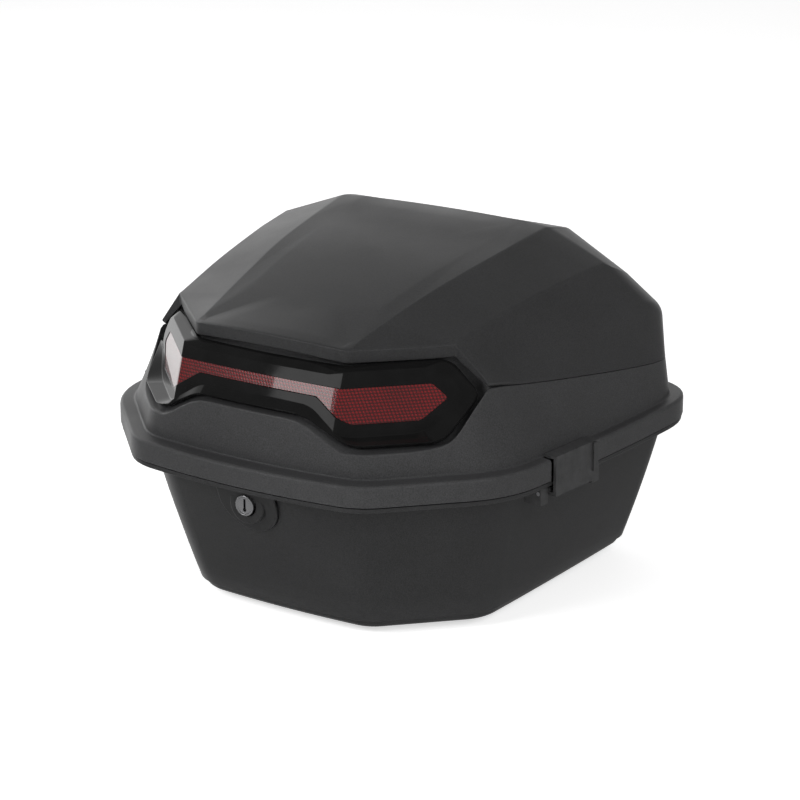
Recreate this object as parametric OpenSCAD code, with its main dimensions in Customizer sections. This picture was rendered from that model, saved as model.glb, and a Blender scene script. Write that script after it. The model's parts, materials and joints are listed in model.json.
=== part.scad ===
// Hard motorcycle top case: a drafted tub, a faceted lid with a wide rear reflector, a key lock,
// two side clips and two rear-side hinges. Units are millimetres, +Z up, +X to the right of the
// locked (rear) face, -Y towards the rear of the motorcycle. The origin is the bottom centre.

/* [Case] */
// Overall length, from the rear edge of the rim to the front of the hinge barrels
case_length = 366; // [362:1:372]
// Length of the rim, from its rear edge to its front edge
rim_length = 354; // [350:1:356]
// Wall thickness of the tub and the lid
wall = 3; // [2.5:0.25:3.5]
// Rounding between the tub's walls and its floor
floor_radius = 9; // [6:1:10]
// Outward swell of the tub's walls half way up
tub_swell = 1.5; // [0:0.5:3]

/* [Rim] */
// Underside of the tub's flange
flange_z = 119.2; // [119:0.1:119.4]
// Thickness of the tub's flange
flange_t = 3.4; // [3:0.1:3.5]
// Lower edge of the lid's rim
rim_z = 123.4; // [123.2:0.1:123.6]
// Top of the lid's rim
rim_top_z = 139.5; // [138:0.5:140]
// Radius of the rim's upper edge
rim_round = 3; // [2:0.5:3.5]

/* [Lid] */
// Thickness of the lid's outer cover
cover_t = 3; // [2.5:0.25:3.2]
// Gap between the cover and the lid under it
cover_gap = 0.4; // [0.3:0.1:0.8]
// Height of the lip's front edge, over the reflector
lip_h = 9.5; // [8:0.5:10]
// Extra height of the top panel along its middle
crown = 2.2; // [0:0.2:3]

/* [Lock] */
// Height of the lock's axis
lock_z = 105.5; // [104:0.5:107]
// Diameter of the lock's metal face
key_face_d = 16; // [15:0.5:17]
// Diameter of the round boss around the lock
boss_d = 30.5; // [29:0.5:32]
// Diameter of the lock's barrel
barrel_d = 12; // [10:0.5:13]

/* [Hinges] */
// Distance from the middle to each hinge
hinge_x = 95; // [85:1:105]
// Width of each hinge
hinge_w = 52; // [48:1:56]
// Height of the hinge axis
hinge_z = 124; // [123.8:0.1:124.4]
// Radius of the hinge barrel
hinge_r = 5.5; // [5:0.25:5.5]
// Diameter of the hinge pin
hinge_pin_d = 5; // [4:0.5:5]

/* [Side clips] */
// Length of each clip along the rim
clip_l = 53; // [48:1:54]
// Lower edge of the clip
clip_z = 111.5; // [111:0.5:112]
// Top of the clip's upper lip
clip_top_z = 142.5; // [142:0.1:143]
// Diameter of the clip's pin
clip_pin_d = 3; // [2.5:0.1:3]

/* [Mounting] */
// Spacing across the four floor bolts
bolt_dx = 150; // [120:5:160]
// Spacing along the four floor bolts
bolt_dy = 110; // [90:5:120]
// Diameter of the floor bolt holes
bolt_hole_d = 6.6; // [6.4:0.1:7]

/* [Hidden] */
$fn = 40;
rear_y = -case_length / 2;
matte_black = [0.13, 0.13, 0.14];
gloss_black = [0.05, 0.05, 0.055];
steel = [0.62, 0.63, 0.65];
lens_red = [0.62, 0.05, 0.06];

// ---------------------------------------------------------------- helpers
function lerp(a, b, t) = a + (b - a) * t;
function unit(v) = v / norm(v);
function curve(p0, p1, p2, n) =
    [for (i = [0:n - 1]) let (t = i / (n - 1)) (1 - t) ^ 2 * p0 + 2 * t * (1 - t) * p1 + t ^ 2 * p2];

// Stations go round half of the case: 0-3 along the rear, 4-8 round the rear corner, 9-11 along
// the chamfer, 12-16 round the chamfer's end, 17-21 along the side, 22-27 round the front corner
// and 28-30 along the front. A ring is a half and its mirror image.
REAR_F = [0, 0.28, 0.56, 0.78];
CHAMFER_F = [0.25, 0.5, 0.75];
SIDE_F = [1 / 6, 2 / 6, 3 / 6, 4 / 6, 5 / 6];
FRONT_F = [0.67, 0.33, 0];
LAST = 30;

// Half an outline: rear = y at the middle of the rear, v = the three corners, t = how far each
// corner's rounding reaches, bow = how far the side bulges.
function half_outline(rear, v, t, bow) =
    let (
        d12 = unit(v[1] - v[0]),
        d23 = unit(v[2] - v[1]),
        out = [d23[1], -d23[0]],
        side_l = norm(v[2] - v[1]),
        side = function (s) v[1] + s * side_l * d23 + bow * 4 * s * (1 - s) * out,
        rear_p = function (x) [x, rear + (v[0][1] - rear) * (x / v[0][0]) ^ 2],
        s0 = t[1] / side_l,
        s1 = 1 - t[2] / side_l
    )
    concat(
        [for (f = REAR_F) rear_p(f * (v[0][0] - t[0]))],
        curve(rear_p(v[0][0] - t[0]), v[0], v[0] + t[0] * d12, 5),
        [for (f = CHAMFER_F) lerp(v[0] + t[0] * d12, v[1] - t[1] * d12, f)],
        curve(v[1] - t[1] * d12, v[1], side(s0), 5),
        [for (f = SIDE_F) side(lerp(s0, s1, f))],
        curve(side(s1), v[2], v[2] - [t[2], 0], 6),
        [for (f = FRONT_F) [f * (v[2][0] - t[2]), v[2][1]]]
    );

// Moves a half outline inwards by d
function inset(h, d) =
    [for (i = [0:LAST])
        let (
            a = i == 0 ? [-h[1][0], h[1][1]] : h[i - 1],
            b = i == LAST ? [-h[LAST - 1][0], h[LAST - 1][1]] : h[i + 1],
            t = unit(b - a)
        )
        h[i] + d * [-t[1], t[0]]];

function at_z(h, z) = [for (p = h) [p[0], p[1], z]];
function full(h) = concat(h, [for (i = [LAST - 1:-1:1]) [-h[i][0], h[i][1], h[i][2]]]);
function placed(h) = [for (p = h) [p[0], p[1] + rear_y, p[2]]];
function ring(h) = full(placed(h));

// Moves every point of a grid of rings inwards by t, along the surface's own normal
function thinned(rows, t) =
    let (n = len(rows[0]), m = len(rows))
    [for (r = [0:m - 1])
        [for (i = [0:n - 1])
            let (
                along = rows[r][(i + 1) % n] - rows[r][(i + n - 1) % n],
                up = rows[min(r + 1, m - 1)][i] - rows[max(r - 1, 0)][i]
            )
            rows[r][i] - t * unit(cross(along, up))]];

function centre(r) = [for (k = [0:2]) [for (p = r) p[k]] * [for (p = r) 1] / len(r)];
function reversed(a) = [for (i = [len(a) - 1:-1:0]) a[i]];

// Two triangles between neighbours i and i + 1 of rings r and q, along the shorter diagonal
function pair(rings, r, q, i) =
    let (
        n = len(rings[0]),
        j = (i + 1) % n,
        a = r * n + i,
        b = r * n + j,
        c = q * n + i,
        d = q * n + j
    )
    norm(rings[q][i] - rings[r][j]) <= norm(rings[r][i] - rings[q][j])
    ? [[a, c, b], [c, d, b]]
    : [[a, c, d], [a, d, b]];

// A closed solid through a run of rings, capped at its first and last ring
module loft(rings) {
    n = len(rings[0]);
    m = len(rings);
    first = n * m;
    polyhedron(
        points = concat([for (r = rings) each r], [centre(rings[0]), centre(rings[m - 1])]),
        faces = concat(
            [for (r = [0:m - 2], i = [0:n - 1]) each pair(rings, r, r + 1, i)],
            [for (i = [0:n - 1]) [first, i, (i + 1) % n]],
            [for (i = [0:n - 1]) [first + 1, (m - 1) * n + (i + 1) % n, (m - 1) * n + i]]
        )
    );
}

// A closed solid through a run of rings whose last ring joins its first
module hoop(rings) {
    n = len(rings[0]);
    m = len(rings);
    polyhedron(
        points = [for (r = rings) each r],
        faces = [for (r = [0:m - 1], i = [0:n - 1]) each pair(rings, r, (r + 1) % m, i)]
    );
}

module at_bolts() {
    for (x = [-1, 1], y = [-1, 1]) translate([x * bolt_dx / 2, bolt_y + y * bolt_dy / 2, 0]) children();
}

// ---------------------------------------------------------------- outlines
rim = half_outline(0, [[101, 8.7], [179.5, 87.3], [201.5, rim_length]], [17, 30, 58], 5);
tub_top = half_outline(12, [[84, 21], [160, 98.5], [185.5, rim_length - 22]], [14, 22, 28], 3);
tub_floor = half_outline(58, [[74, 61], [139, 125], [147, rim_length - 24]], [12, 16, 20], 1);
floor_pad = half_outline(88, [[62, 91], [110, 138], [116, rim_length - 54]], [12, 14, 24], 1);
foot = half_outline(12.5, [[96.2, 20.6], [170.9, 95.3], [192.5, rim_length - 12]], [15, 28, 50], 5);
// The lid's lower wall follows the reflector's recess up to the seam's start, then the seam
RECESS = [[112, 41, 158.3], [123.5, 52.7, 158.3], [135.4, 68.4, 160.3], [139.4, 77.6, 165.3], [141.8, 85.2, 172.5],
    [143.8, 92.5, 180.3], [146.3, 100.3, 188.3], [148.6, 107.8, 195.8]];
SIDE_X = [[107.8, 148.6], [161.9, 158.8], [216.4, 168.3], [264, 177.5], [295.5, 184]];
SIDE_END = 295.5;
wall_rear = half_outline(14.2, [[91.5, 20.5], [160.2, 89.2], [183.5, 330]], [14, 6, 45], 1);
wall_top = concat(
    [for (i = [0:8]) wall_rear[i]],
    [for (p = RECESS) [p[0], p[1]]],
    [for (k = [1:5]) let (y = lerp(RECESS[7][1], SIDE_END, k / 6)) [lookup(y, SIDE_X), y]],
    curve([184, SIDE_END], [188.5, rim_length - 13.5], [143.5, rim_length - 13.5], 6),
    [for (f = FRONT_F) [143.5 * f, rim_length - 13.5]]
);

// The tub's wall at height z
function tub_at(z, d) =
    let (f = (z - lift) / (flange_z - lift), swell = tub_swell * 4 * f * (1 - f))
    at_z(inset([for (i = [0:LAST]) lerp(tub_floor[i], tub_top[i], f)], d - swell), z);

// ---------------------------------------------------------------- the lid's feature lines
// The two creases on each side of the top, as x and z against y
function crease_x(y) = lookup(y, [[45, 66.5], [130, 77.4], [178, 84.8], [283, 95.8], [310, 98]]);
function crease_z(y) =
    lookup(y, [[45, 225.5], [130, 246.6], [178, 256.3], [230, 263.8], [283, 270.2], [310, 262.5]]);
function shoulder_x(y) = lookup(y, [[100, 124.5], [161.5, 133], [205.5, 139.5], [251.5, 146.3], [278, 149.6], [315, 154.5]]);
function shoulder_z(y) =
    lookup(y, [[100, 226.1], [161.5, 238], [205.5, 243.9], [251.5, 248.8], [278, 250.4], [300, 244], [315, 233.5]]);
// The seam between the cover and the lid's lower part
function seam_z(y) = lookup(y, [[107.8, 195.8], [161.9, 186.8], [216.4, 179], [272.4, 172.3], [324, 168.5]]);
// Upper edge of the lid's lower wall: the edge of the reflector's recess, then the seam
function wall_top_z(p, i) =
    i <= 8 ? lookup(p[0], [[0, 178], [45.7, 178], [78.6, 158.3]]) : i <= 16 ? RECESS[i - 9][2] : seam_z(p[1]);

lip = half_outline(41, [[66.5, 45.1], [124.5, 100.3], [147.4, 280]], [5, 3, 30], 0);
lip_end = [124.5, 100.3, 226.1];
seam_start = [148.9, 108.1, 196.3];
function lip_z(p) = 225.5 + 3 * (1 - min(1, p[0] / 66.5) ^ 2);

// Cover, lower edge of the lip's front face, then of the side's edge
edge_row = [for (i = [0:LAST])
    i <= 11 ? [lip[i][0], lip[i][1] + 0.8, lip_z(lip[i]) - lip_h]
    : i <= 16 ? lerp(lip_end + [-0.8, 1, -lip_h], seam_start + [-2.5, 1, -0.4], (i - 12) / 4)
    : [wall_top[i][0], wall_top[i][1], seam_z(wall_top[i][1]) + cover_gap]];
// Cover, upper edge of the lip's front face, then a narrow band up the side
brow_row = [for (i = [0:LAST])
    i <= 11 ? [lip[i][0], lip[i][1], lip_z(lip[i])]
    : i <= 16 ? lerp(lip_end, seam_start + [0, 0, 2], (i - 12) / 4)
    : [wall_top[i][0] - 0.6, wall_top[i][1], seam_z(wall_top[i][1]) + cover_gap + 2]];
// Cover, the shoulder crease, which starts at the lip's end and rolls over at the front
side_y = [for (i = [0:5]) lerp(118, 264, i / 5)];
shoulder_row = [for (i = [0:LAST])
    i <= 11 ? [lip[i][0] * 0.985, lip[i][1] + 2.2, lip_z(lip[i]) + 0.9]
    : i <= 16 ? let (y = 101 + 2.4 * (i - 12)) [shoulder_x(y), y, shoulder_z(y)]
    : i <= 21 ? let (y = side_y[i - 17]) [shoulder_x(y), y, shoulder_z(y)]
    : i <= 27 ? curve([shoulder_x(275), 275, shoulder_z(275)], [162, 330, 226],
                      [118, 334, 226], 6)[i - 22]
    : [FRONT_F[i - 28] * 118, 334 + 1.5 * (1 - FRONT_F[i - 28]), 226]];
// Cover, the swelling between the seam and the shoulder, which grows towards the front
swell_row = [for (i = [0:LAST])
    i <= 16 ? lerp(brow_row[i], shoulder_row[i], 0.5)
    : let (b = brow_row[i], c = shoulder_row[i], g = min(1, max(0, (b[1] - 170) / 130)))
      lerp(b, c, 0.5) + (9 + 5 * (i >= 21 && i <= 26 ? 1 : 0)) * g * (i <= 20 ? [0.93, 0, 0.36] : [0.75, 0.45, 0.36])];
// Cover, the crease round the top panel
top_row = [for (i = [0:LAST])
    i <= 3 ? [lip[i][0] * 0.97, lip[i][1] + 10, lip_z(lip[i]) + 2.8]
    : i <= 8 ? let (y = 54 + 1.6 * (i - 4)) [crease_x(y) - 1.5 * (8 - i), y, crease_z(y)]
    : i <= 16 ? let (y = 68 + 6.5 * (i - 9)) [crease_x(y), y, crease_z(y)]
    : i <= 21 ? let (y = lerp(128, 268, (i - 17) / 5)) [crease_x(y), y, crease_z(y)]
    : i <= 27 ? curve([crease_x(280), 280, crease_z(280)], [112, 318, 264], [72, 324, 256.5], 6)[i - 22]
    : [FRONT_F[i - 28] * 72, 324, 256]];
// Cover, a ring on the top panel, with the crest across its front
function panel_z(y) = crease_z(min(y, 283)) + crown;
crest_row = [for (i = [0:LAST])
    let (
        s = i <= 8 ? i / 8 * 0.12 : i <= 21 ? 0.12 + (i - 8) / 13 * 0.88 : 1,
        y = lerp(85, 284, s),
        x = i <= 8 ? 55 * (i / 8) : i <= 21 ? lerp(55, 74, s) : i <= 27 ? lerp(74, 50, (i - 22) / 5)
            : 50 * FRONT_F[i - 28] / FRONT_F[0]
    )
    [x, y, panel_z(y) - crown * (x / 95) ^ 2]];
pole_row = [for (i = [0:LAST])
    let (a = 180 * i / LAST, x = 9 * sin(a), y = 190 - 9 * cos(a)) [x, y, panel_z(y)]];
cover_rows = [for (h = [edge_row, brow_row, swell_row, shoulder_row, top_row, crest_row, pole_row]) ring(h)];

// The reflector's lens lies on a leaning face with a 45 degree turn at each end
lens_turn = 71.4;
function lens_y(x, z) =
    23.8 + 0.34 * (z - 176) - 2 * (1 - min(1, abs(x) / lens_turn) ^ 2) + max(0, abs(x) - lens_turn);
lens_tip = [128.2, 190.7];
function lens_low(x) = lookup(x, [[0, 193.7], [52.3, 193.7], [80.2, 176], [116, 176], lens_tip]);
function lens_high(x) = lookup(x, [[0, 201.5], [118.6, 201.5], lens_tip]);

// ---------------------------------------------------------------- tub
bolt_y = 15;
floor_t = wall;
// The floor's outer part stands clear of the ground, round a flat foot
lift = 5;
module base_shell() {
    outer = concat(
        [at_z(floor_pad, 0), at_z(inset(floor_pad, -2), lift)],
        [for (a = [0, 25, 50, 70])
            at_z(inset(tub_floor, floor_radius * (1 - sin(a))), lift + floor_radius * (1 - cos(a)))],
        [for (z = [lift + floor_radius, 35, 62, 90, flange_z]) tub_at(z, 0)],
        [at_z(inset(rim, 1), flange_z), at_z(inset(rim, 1), flange_z + flange_t)]
    );
    inner = concat(
        [tub_at(flange_z, wall)],
        [for (z = [90, 62, 35, lift + 12]) tub_at(z, wall)],
        [at_z(inset(tub_floor, wall + 2.5), lift + floor_t + 2), at_z(inset(tub_floor, wall + 7), lift + floor_t),
         at_z(inset(floor_pad, 1), lift + floor_t), at_z(inset(floor_pad, 3), floor_t)]
    );
    inner_top = [for (p = inner[0]) [p[0], p[1], flange_z + flange_t]];
    color(matte_black) difference() {
        loft([for (h = concat(outer, [inner_top], inner)) ring(h)]);
        at_bolts() translate([0, 0, -1]) cylinder(d = bolt_hole_d, h = floor_t + 2);
        lock_axis(0) cylinder(d = lock_sleeve_d + 0.6, h = nut_y);
        intersection() {
            lock_axis(0) cylinder(d = boss_d + 0.6, h = boss_y + boss_l + 0.2);
            translate([-boss_d, rear_y, 0]) cube([2 * boss_d, 60, flange_z]);
        }
        for (side = [-1, 1], s = [-1, 1])
            translate([side * hinge_x + s * screw_x, base_screw_y, flange_z - 1]) cylinder(d = screw_hole_d, h = 3.6);
    }
}

seal_h = 1;
module lid_seal() {
    z = flange_z + flange_t;
    color([0.05, 0.05, 0.05])
    hoop([for (s = [[8.3, 0], [8.3, seal_h], [12.6, seal_h], [12.6, 0]]) ring(at_z(inset(rim, s[0]), z + s[1]))]);
}

mat_z = floor_t + 2.3;
module floor_mat() {
    color([0.2, 0.2, 0.21]) difference() {
        loft([for (z = [mat_z, mat_z + 2.5]) ring(at_z(inset(floor_pad, 4), z))]);
        at_bolts() translate([0, 0, mat_z - 1]) cylinder(d = 18, h = 5);
    }
}

module backing_plate() {
    color(steel) difference() {
        translate([-bolt_dx / 2 - 16, bolt_y - bolt_dy / 2 - 16, floor_t + 0.1])
            cube([bolt_dx + 32, bolt_dy + 32, 2]);
        at_bolts() cylinder(d = bolt_hole_d, h = 10);
    }
}

// ---------------------------------------------------------------- hinges
hinge_y = case_length / 2 - hinge_r;
knuckle_w = hinge_w * 0.46;
knuckle_gap = 0.5;
rim_front_y = rear_y + rim_length;

module barrel(x0, x1, bore) {
    translate([x0, hinge_y, hinge_z]) rotate([0, 90, 0]) difference() {
        cylinder(r = hinge_r, h = x1 - x0);
        translate([0, 0, -1]) cylinder(d = bore, h = x1 - x0 + 2);
    }
}

module base_hinge(side) {
    low = flange_z - hinge_plate_t;
    inner = knuckle_w / 2 + knuckle_gap;
    plate_y = rim_front_y - 21.4;
    color(matte_black) translate([side * hinge_x, 0, 0]) difference() {
        union() {
            translate([-hinge_w / 2, plate_y, low])
                cube([hinge_w, hinge_y + hinge_r - plate_y, hinge_plate_t - 0.1]);
            for (s = [-1, 1]) {
                x0 = s > 0 ? inner : -hinge_w / 2;
                barrel(x0, x0 + hinge_w / 2 - inner, hinge_pin_d);
                difference() {
                    translate([x0, rim_front_y + 0.5, low]) cube([hinge_w / 2 - inner, hinge_r * 2, hinge_z - low]);
                    translate([x0 - 1, hinge_y, hinge_z]) rotate([0, 90, 0]) cylinder(r = hinge_r - 0.2, h = hinge_w);
                }
            }
        }
        for (s = [-1, 1]) translate([s * screw_x, base_screw_y, low - 1]) cylinder(d = screw_hole_d, h = 10);
        translate([-inner, hinge_y, hinge_z]) rotate([0, 90, 0]) cylinder(r = hinge_r + 0.5, h = 2 * inner);
    }
}

screw_x = 16;
base_screw_y = hinge_y - 20;
screw_d = 3.9;
screw_hole_d = 4;
hinge_plate_t = 4;
lid_screw_y = rim_front_y - 5.5;
lid_plate_z = rim_top_z + 0.7;

module lid_hinge(side) {
    half = knuckle_w / 2;
    arm_y = rim_front_y + 0.6;
    top = lid_plate_z;
    color(matte_black) translate([side * hinge_x, 0, 0]) {
        barrel(-half, half, hinge_pin_d + 0.1);
        difference() {
            union() {
                translate([-half, arm_y, hinge_z + 1]) cube([knuckle_w, 3.8, top + 3 - hinge_z - 1]);
                translate([-hinge_w / 2, rim_front_y - 10.5, top]) cube([hinge_w, 10.5 + 4.4, 3]);
            }
            translate([-half - 1, hinge_y, hinge_z]) rotate([0, 90, 0]) cylinder(r = hinge_r - 0.2, h = knuckle_w + 2);
            for (s = [-1, 1]) translate([s * screw_x, lid_screw_y, top - 1]) cylinder(d = screw_hole_d, h = 10);
        }
    }
}

module hinge_pin(side) {
    color(steel) translate([side * hinge_x - hinge_w / 2, hinge_y, hinge_z]) rotate([0, 90, 0])
        cylinder(d = hinge_pin_d, h = hinge_w);
}

// A pan-head screw whose head's underside is at z = 0 and whose shank points down
module screw(d, l) {
    translate([0, 0, -l]) cylinder(d = d, h = l);
    cylinder(d = d * 1.9, h = d * 0.6);
}

module base_hinge_screws() {
    color(steel) for (side = [-1, 1], s = [-1, 1])
        translate([side * hinge_x + s * screw_x, base_screw_y, flange_z - hinge_plate_t]) rotate([180, 0, 0])
            screw(screw_d, hinge_plate_t + 2.4);
}

module lid_hinge_screws() {
    color(steel) for (side = [-1, 1], s = [-1, 1])
        translate([side * hinge_x + s * screw_x, lid_screw_y, lid_plate_z + 3]) screw(screw_d, 8);
}

// ---------------------------------------------------------------- side clips
clip_y = 162.5;
clip_x = 190;
clip_turn = 6.5;
clip_pin_u = -6;
clip_pin_z = 114.6;
clip_barrel_r = 3;
lug_gap = 1;
lug_w = 9;

// Puts its children in a clip's own frame: x outwards from the rim's edge, y along the rim
module clip_frame(side) {
    mirror([side < 0 ? 1 : 0, 0, 0]) translate([clip_x, clip_y + rear_y, 0]) rotate([0, 0, -clip_turn]) children();
}

module along_rim(u, z, y0, y1, r) {
    translate([u, y0, z]) rotate([-90, 0, 0]) cylinder(r = r, h = y1 - y0);
}

module clip_bracket(side) {
    color(matte_black) clip_frame(side) for (s = [-1, 1]) {
        y0 = s > 0 ? clip_l / 2 + lug_gap : -clip_l / 2 - lug_gap - lug_w;
        difference() {
            translate([-19, y0, clip_pin_z - 9]) cube([15.5, lug_w, flange_z - clip_pin_z + 9]);
            along_rim(clip_pin_u, clip_pin_z, y0 - 1, y0 + lug_w + 1, clip_pin_d / 2);
        }
    }
}

module clip_pin(side) {
    reach = clip_l / 2 + lug_gap + lug_w;
    color(steel) clip_frame(side) along_rim(clip_pin_u, clip_pin_z, -reach, reach, clip_pin_d / 2);
}

clip_face_u = 2.8;
clip_plate_t = 2.5;
module side_clip(side) {
    lip_in = -8.2;
    color(matte_black) clip_frame(side) difference() {
        union() {
            translate([clip_face_u - clip_plate_t, -clip_l / 2, clip_z])
                cube([clip_plate_t, clip_l, clip_top_z - clip_z]);
            translate([lip_in, -clip_l / 2, clip_top_z - 2.3]) cube([clip_face_u - lip_in, clip_l, 2.3]);
            translate([clip_face_u - 0.01, clip_l / 2 - 8, clip_z + 8]) cube([1.6, 4, clip_top_z - clip_z - 9]);
            along_rim(clip_pin_u, clip_pin_z, -clip_l / 2, clip_l / 2, clip_barrel_r);
            translate([clip_pin_u, -clip_l / 2, clip_pin_z - clip_barrel_r])
                cube([clip_face_u - clip_pin_u, clip_l, 2.6]);
        }
        along_rim(clip_pin_u, clip_pin_z, -clip_l, clip_l, clip_pin_d / 2 + 0.05);
    }
}

// ---------------------------------------------------------------- lock
lock_sleeve_d = 18;
key_face_y = 10;
boss_y = 12.6;
boss_l = 6;
// How far behind the boss its bores begin
bore_lead = 8;
pad_out = 2.6;
pad_w = 52;
pad_low = 82;
cam_y = 46;
cam_t = 2.5;
cam_screw_d = 4;
nut_y = 33;

// Puts its children on the lock's axis, z pointing to the front, starting d in front of the rear edge
module lock_axis(d) {
    translate([0, rear_y + d, lock_z]) rotate([-90, 0, 0]) children();
}

module lock_housing() {
    top = flange_z - 0.1;
    color(matte_black) difference() {
        union() {
            intersection() {
                lock_axis(boss_y) cylinder(d = boss_d, h = boss_l);
                translate([-boss_d, rear_y, 0]) cube([2 * boss_d, 60, top]);
            }
            lock_axis(boss_y + 1) cylinder(d = lock_sleeve_d, h = nut_y + 5 - boss_y);
            intersection() {
                translate([0, rear_y, pad_low + pad_w / 2]) rotate([-90, 0, 0]) cylinder(d = pad_w, h = 40);
                pad_slab(pad_low - 1, top);
            }
            intersection() {
                translate([-pad_w / 2, rear_y, pad_low + pad_w / 2]) cube([pad_w, 40, top - pad_low]);
                pad_slab(pad_low + pad_w / 2 - 1, top);
            }
        }
        lock_axis(boss_y - bore_lead) cylinder(d = key_face_d + 0.1, h = bore_lead + 3);
        lock_axis(boss_y - bore_lead) cylinder(d = barrel_d + 0.1, h = 60);
    }
}

// A slab that stands proud of the tub's rear wall and follows its lean
module pad_slab(z0, z1) {
    at = function (z, d) [0, tub_at(z, d)[0][1] + rear_y, z];
    a = at(z0, -pad_out);
    b = at(z1, -pad_out);
    c = at(z1, -0.3);
    d = at(z0, -0.3);
    translate([pad_w / 2 + 1, 0, 0]) rotate([90, 0, -90])
        linear_extrude(pad_w + 2) polygon([for (p = [a, b, c, d]) [-p[1], p[2]]]);
}

module lock_nut() {
    color(steel) lock_axis(nut_y) difference() {
        cylinder(d = 27, h = 4, $fn = 6);
        translate([0, 0, -1]) cylinder(d = lock_sleeve_d, h = 6);
    }
}

module lock_cylinder() {
    color([0.75, 0.76, 0.78]) difference() {
        union() {
            lock_axis(key_face_y) cylinder(d = key_face_d, h = 5.4);
            lock_axis(key_face_y + 1) cylinder(d = barrel_d, h = cam_y - key_face_y - 1.05);
        }
        lock_axis(key_face_y - 1) translate([-0.9, -5.2, 0]) cube([1.8, 9, 9]);
        lock_axis(key_face_y - 1) translate([0, 3.8, 0]) cylinder(d = 3, h = 9);
        lock_axis(cam_y - 12) cylinder(d = cam_screw_d, h = 14);
    }
}

cam_reach = 19;
module lock_cam() {
    color(steel) lock_axis(cam_y) difference() {
        union() {
            cylinder(d = 14, h = cam_t);
            translate([-5, -cam_reach, 0]) cube([10, cam_reach, cam_t]);
        }
        translate([0, 0, -1]) cylinder(d = cam_screw_d, h = 5);
    }
}

module cam_screw() {
    color(steel) lock_axis(cam_y + cam_t) screw(cam_screw_d, 10);
}

striker_gap = 0.8;
striker_w = 26;
striker_t = 2;
striker_top = 152;
striker_back = rear_y + 17;
striker_screw_z = striker_top + 9;

// A hooked strap that hangs from the lid's rear wall: its toe stands just behind the lock's cam
module striker() {
    toe_y = rear_y + cam_y + cam_t + striker_gap;
    low = lock_z + 7;
    color(steel) difference() {
        union() {
            translate([-striker_w / 2, toe_y + 2.5, low]) cube([striker_w, striker_t, striker_top - low]);
            translate([-striker_w / 2, toe_y, low]) cube([striker_w, 3, striker_t]);
            translate([-striker_w / 2, striker_back, striker_top - striker_t])
                cube([striker_w, toe_y + 3 - striker_back, striker_t]);
            translate([-striker_w / 2, striker_back, striker_top - striker_t]) cube([striker_w, striker_t, 18]);
        }
        at_striker_screws() translate([0, 0, -5]) cylinder(d = screw_hole_d, h = 10);
    }
}

module at_striker_screws() {
    for (s = [-1, 1]) translate([s * 8, striker_back + striker_t, striker_screw_z]) rotate([-90, 0, 0]) children();
}

module striker_screws() {
    color(steel) at_striker_screws() screw(screw_d, striker_t + 2.2);
}

// ---------------------------------------------------------------- lid
skirt_z = rim_z + 0.6;

// The shelf that the bezel stands on: its inner edge runs just under the bezel's outer edge
function shelf_x(x) = lookup(x, [[0, 0], [43.4, 45], [77.5, 78], [91.5, 86], [101.4, 97]]);
SHELF_END = [[107.5, 46.2, 158.6], [119, 57.9, 158.8], [131.5, 71.5, 159.8], [137.6, 82, 163.5], [138.6, 92, 170],
    [141, 102, 177.5], [144.2, 111, 186.5], [146.3, 113, 194.3]];
function shelf(i) =
    i <= 8
    ? let (x = shelf_x(wall_top[i][0]))
        [x, lookup(x, [[0, 20.5], [47, 22], [80.5, 25.5], [89, 27], [97, 35]]),
         lookup(x, [[0, 178.2], [47, 178.2], [80.5, 160.6], [89, 159], [97, 158.6]])]
    : i <= 16 ? SHELF_END[i - 9]
    : let (p = inset(wall_top, 1)[i]) [p[0], p[1], seam_z(wall_top[i][1])];
// Lower and upper edges of the pocket behind the bezel
POCKET_END = [[121, 87, 167.5], [126.5, 101, 175], [131, 110, 184], [137, 115.5, 191.5], [143.6, 114.5, 196.3]];
function pocket_low(i) =
    i <= 11 ? let (p = half_outline(33.5, [[77, 37.5], [129, 89.5], [183, 330]], [10, 5, 30], 0)[i])
        [p[0], p[1], lookup(p[0], [[0, 188], [48, 188], [76, 166], [200, 166]])]
    : i <= 16 ? POCKET_END[i - 12]
    : let (p = inset(wall_top, cover_t + cover_gap)[i]) [p[0], p[1], seam_z(wall_top[i][1])];
function pocket_high(i) =
    i <= 11 ? let (p = lip[i]) [p[0] * 0.97, p[1] + 5.5, 212.5]
    : curve([121, 105.5, 212.5], [131, 114, 208], [141, 116, 199.5], 5)[i - 12];
// Behind the lip's front face
function lip_back(i) =
    i <= 11 ? let (p = lip[i]) [p[0] * 0.985, p[1] + 5.2, lip_z(p) - 5]
    : lerp(lip_end + [-3.2, 5.8, -5.5], inner_cover[2][16] - [0, rear_y, 0], (i - 12) / 4);

under_sides = thinned(cover_rows, cover_t + 3 * cover_gap);
under_top = thinned(cover_rows, cover_t + cover_gap);
inner_cover = [for (k = [0:6]) k <= 2 ? under_sides[k] : under_top[k]];
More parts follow.
